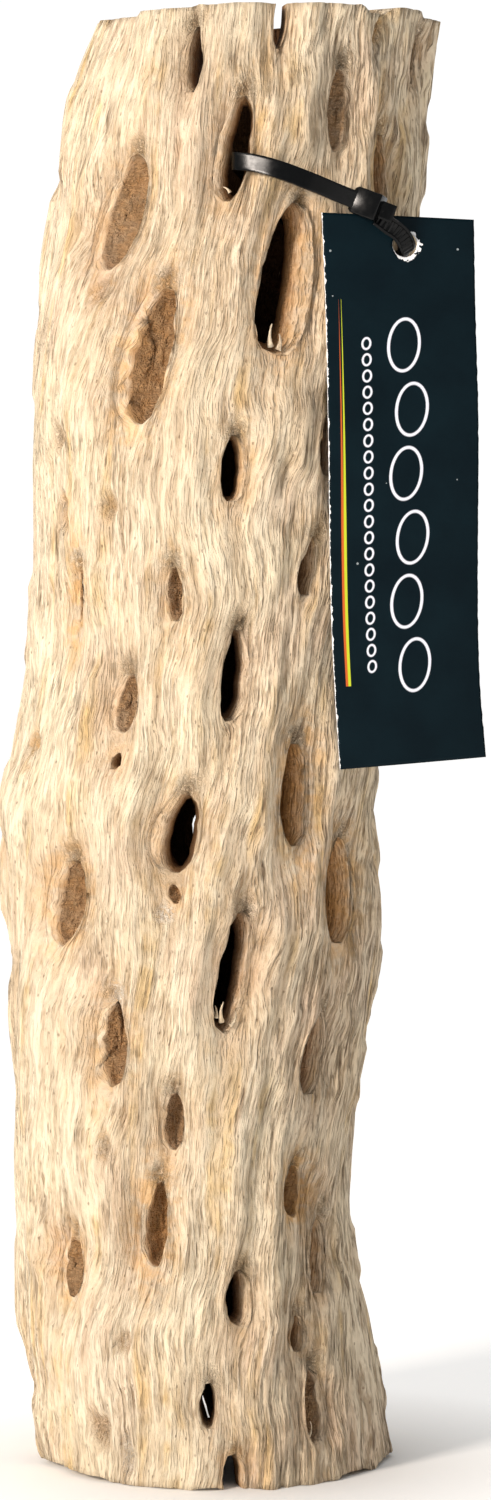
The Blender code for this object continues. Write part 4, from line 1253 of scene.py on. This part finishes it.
tag_bm = bmesh.new()
printed = tag_bm.verts.layers.float_vector.new("printed")
bmesh.ops.create_grid(tag_bm, x_segments=CARD_CELLS[0], y_segments=CARD_CELLS[1], size=1.0)
for vert in tag_bm.verts:
    u, v = (vert.co.x + 1) / 2, (1 - vert.co.y) / 2
    vert[printed] = (u * CARD_WIDE, v * CARD_TALL, 0)
    vert.co = card_place(u, v)
punched = [face for face in tag_bm.faces if from_hole(face.calc_center_median()).length < CARD_HOLE / 2]
bmesh.ops.delete(tag_bm, geom=punched, context="FACES")
for vert in tag_bm.verts:
    u, v, _ = vert[printed]
    out = from_hole(vert.co)
    if vert.is_boundary and out.length < CARD_HOLE:
        torn = 0.16 * noise.noise(vert.co * 2.1) * (1.0 if out.x > 0 or out.z < 0 else 0.3)
        vert.co += out.normalized() * (CARD_HOLE / 2 + torn) - out
    elif vert.is_boundary:
        vert.co.x += 0.10 * noise.noise((vert.co.z / 1.3, u, 5.0)) if 0 < v < CARD_TALL else 0
for vert in tag_bm.verts:
    vert.co = vert.co * MM - MIDDLE
tag_bm.normal_update()
made = bmesh.ops.extrude_face_region(tag_bm, geom=tag_bm.faces[:])["geom"]
rear = [item for item in made if isinstance(item, bmesh.types.BMVert)]
bmesh.ops.translate(tag_bm, verts=rear, vec=(0, CARD_THICKNESS * MM, 0))
for vert in rear:
    vert[printed].y = -1000
bmesh.ops.recalc_face_normals(tag_bm, faces=tag_bm.faces)
for face in tag_bm.faces:
    face.material_index = 1 if abs(face.normal.y) < 0.5 else 0
    face.smooth = abs(face.normal.y) > 0.5
tag_mesh = bpy.data.meshes.new("card_tag")
tag_bm.to_mesh(tag_mesh)
tag_bm.free()
tag = new_object("card_tag", tag_mesh)
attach(tag, "root")
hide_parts("hang_tag")
cad_tag, new_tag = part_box("hang_tag"), [tuple(v.co) for v in tag_mesh.vertices]
print("CAD tag from", [round(v / MM, 1) for v in cad_tag[0]], "to", [round(v / MM, 1) for v in cad_tag[1]])
print("this tag from", [round(min(p[i] for p in new_tag) / MM, 1) for i in range(3)],
      "to", [round(max(p[i] for p in new_tag) / MM, 1) for i in range(3)])

# %% [markdown]
# ## Coated card and its white core
#
# The card is pulp board with a matt black coat that has a faint blue-green cast. Its print is generic: a
# plain stripe in two colours that swells from a hair at the top, and plain white ovals. The ovals come
# from two ellipses, one inside the other, repeated down the card by a wrapped coordinate.

# %% Material of the card
# Stripes: middle, width at the top and at the foot, colour
STRIPES = [(2.30, 0.06, 0.50, "#C8602C"), (2.74, 0.10, 0.54, "#BECB34")]
STRIPE_FROM, STRIPE_TO = 14.5, 80.0
# Rows of ovals: middle, swing to the side, pitch, start, how many, half width, half height, line
OVAL_ROWS = [(13.4, 1.1, 11.0, 16.5, 6, 2.9, 4.7, 0.50), (6.9, 0.0, 2.75, 20.5, 21, 0.85, 1.1, 0.34)]
PRINT_EDGE = 0.06

card, tree, shader = new_material("coated_black_card", Roughness=0.35, IOR=1.5, Specular_IOR_Level=0.07)
made = {}
for label, source, out in (("printed", "ShaderNodeAttribute", "Vector"), ("place", "ShaderNodeTexCoord", "Object")):
    settings = {"attribute_name": "printed"} if label == "printed" else {}
    vector = made[label] = add(tree, source, out=out, **settings)
    for axis in "XYZ":
        made[label + axis] = add(tree, "ShaderNodeSeparateXYZ", {0: vector}, out=axis)
for label, size, low, high in (("tear", 0.7, 0.3, 0.7), ("chip", 1.1, 0.45, 0.75), ("cloud", 9.0, 0.35, 0.7)):
    noise_at = {"Vector": made["place"], "Scale": 1 / (size * MM), "Detail": 3.0}
    value = add(tree, "ShaderNodeTexNoise", noise_at)
    made[label] = add(tree, "ShaderNodeMapRange", {"Value": value, "From Min": low, "From Max": high})
made["dust"] = add(tree, "ShaderNodeTexVoronoi", {"Vector": made["place"], "Scale": 1 / (4.5 * MM)}, out="Distance")

# Steps of arithmetic: name, operation and up to three terms, each a number or an earlier name
hole_at = CARD_HOLE_AT * MM - MIDDLE
steps = [
    ("swell", "SUBTRACT", "printedY", STRIPE_FROM), ("swell", "DIVIDE", "swell", 38.0), ("swell", "MINIMUM", "swell", 1.0),
    ("hole x", "SUBTRACT", "placeX", hole_at.x), ("hole z", "SUBTRACT", "placeZ", hole_at.z),
    ("x x", "MULTIPLY", "hole x", "hole x"), ("z z", "MULTIPLY_ADD", "hole z", "hole z", "x x"),
    ("from hole", "POWER", "z z", 0.5), ("from hole", "DIVIDE", "from hole", MM),
    ("side", "MULTIPLY_ADD", "hole z", -0.5, "hole x"), ("side", "MULTIPLY_ADD", "side", 0.35 / MM, 0.45),
    ("side", "MINIMUM", "side", 1.0), ("side", "MAXIMUM", "side", 0.0),
    ("white to", "MULTIPLY", "tear", "side"), ("white to", "MULTIPLY_ADD", "white to", 1.1, CARD_HOLE / 2 + 0.02),
    ("torn", "LESS_THAN", "from hole", "white to"),
    ("chip to", "MULTIPLY_ADD", "chip", 0.34, 0.07), ("chipped", "LESS_THAN", "printedX", "chip to"),
    ("speck", "LESS_THAN", "dust", 0.045), ("white", "MAXIMUM", "torn", "chipped"),
    ("speck", "MULTIPLY", "speck", 0.55),
]
for number, (middle, thin, thick, _) in enumerate(STRIPES):
    stripe = f"stripe {number}"
    steps += [
        ("half", "MULTIPLY_ADD", "swell", (thick - thin) / 2, thin / 2), ("off", "SUBTRACT", "printedX", middle),
        ("off", "ABSOLUTE", "off"), (stripe, "SUBTRACT", "half", "off"), (stripe, "DIVIDE", stripe, PRINT_EDGE),
        (stripe, "MINIMUM", stripe, 1.0), (stripe, "MAXIMUM", stripe, 0.0),
        ("below", "GREATER_THAN", "printedY", STRIPE_FROM), ("above", "LESS_THAN", "printedY", STRIPE_TO),
        (stripe, "MULTIPLY", stripe, "below"), (stripe, "MULTIPLY", stripe, "above"),
    ]
for number, (middle, swing, pitch, start, count, wide, tall, thick) in enumerate(OVAL_ROWS):
    oval = f"ovals {number}"
    steps += [
        ("down", "SUBTRACT", "printedY", start), ("down", "DIVIDE", "down", pitch), ("cell", "FLOOR", "down"),
        ("odd", "PINGPONG", "cell", 1.0), ("dv", "SUBTRACT", "down", "cell"), ("dv", "SUBTRACT", "dv", 0.5),
        ("dv", "MULTIPLY", "dv", pitch), ("du", "MULTIPLY_ADD", "odd", -swing, "printedX"),
        ("du", "SUBTRACT", "du", middle), ("du", "MULTIPLY_ADD", "dv", 0.10, "du"),
        ("in rows", "GREATER_THAN", "cell", -0.5), ("in last", "LESS_THAN", "cell", count - 0.5),
        ("in rows", "MULTIPLY", "in rows", "in last"),
    ]
    for edge, a, b in (("outer", wide, tall), ("inner", wide - thick, tall - thick)):
        steps += [
            ("eu", "DIVIDE", "du", a), ("eu", "MULTIPLY", "eu", "eu"), ("ev", "DIVIDE", "dv", b),
            (edge, "MULTIPLY_ADD", "ev", "ev", "eu"), (edge, "POWER", edge, 0.5), (edge, "SUBTRACT", 1.0, edge),
            (edge, "MULTIPLY_ADD", edge, a / PRINT_EDGE / 2, 0.5), (edge, "MINIMUM", edge, 1.0), (edge, "MAXIMUM", edge, 0.0),
        ]
    steps += [(oval, "SUBTRACT", "outer", "inner"), (oval, "MULTIPLY", oval, "in rows")]
for name, operation, *terms in steps:
    inputs = {k: made[term] if isinstance(term, str) else term for k, term in enumerate(terms)}
    made[name] = add(tree, "ShaderNodeMath", inputs, operation=operation)

coats = [("cloud", "#071920")] + [(f"stripe {k}", row[3]) for k, row in enumerate(STRIPES)]
coats += [("ovals 0", "#E3E6F2"), ("ovals 1", "#E3E6F2"), ("speck", "#B9C4C8"), ("white", "#EEF0F2")]
paint = colour("#04131A")
for label, code in coats:
    paint = add(tree, "ShaderNodeMix", {0: made[label], 6: paint, 7: colour(code)}, out=2, data_type="RGBA")
tree.links.new(paint, shader.inputs["Base Color"])
bump = add(tree, "ShaderNodeBump", {"Height": made["tear"], "Strength": 0.15, "Distance": 0.05 * MM})
tree.links.new(bump, shader.inputs["Normal"])
tag_mesh.materials.append(card)

# The core is raw pulp board: white, matt and a little fibrous
core, tree, shader = new_material("white_pulp_core", Roughness=0.9)
place = add(tree, "ShaderNodeTexCoord", out="Object")
pulp = add(tree, "ShaderNodeTexNoise", {"Vector": place, "Scale": 1 / (0.3 * MM), "Detail": 3.0})
paint = add(
    tree, "ShaderNodeMix", {0: pulp, 6: colour("#D5D3D0"), 7: colour("#F6F5F3")}, out=2, data_type="RGBA"
)
tree.links.new(paint, shader.inputs["Base Color"])
tag_mesh.materials.append(core)
print("card material has", len(card.node_tree.nodes), "nodes")
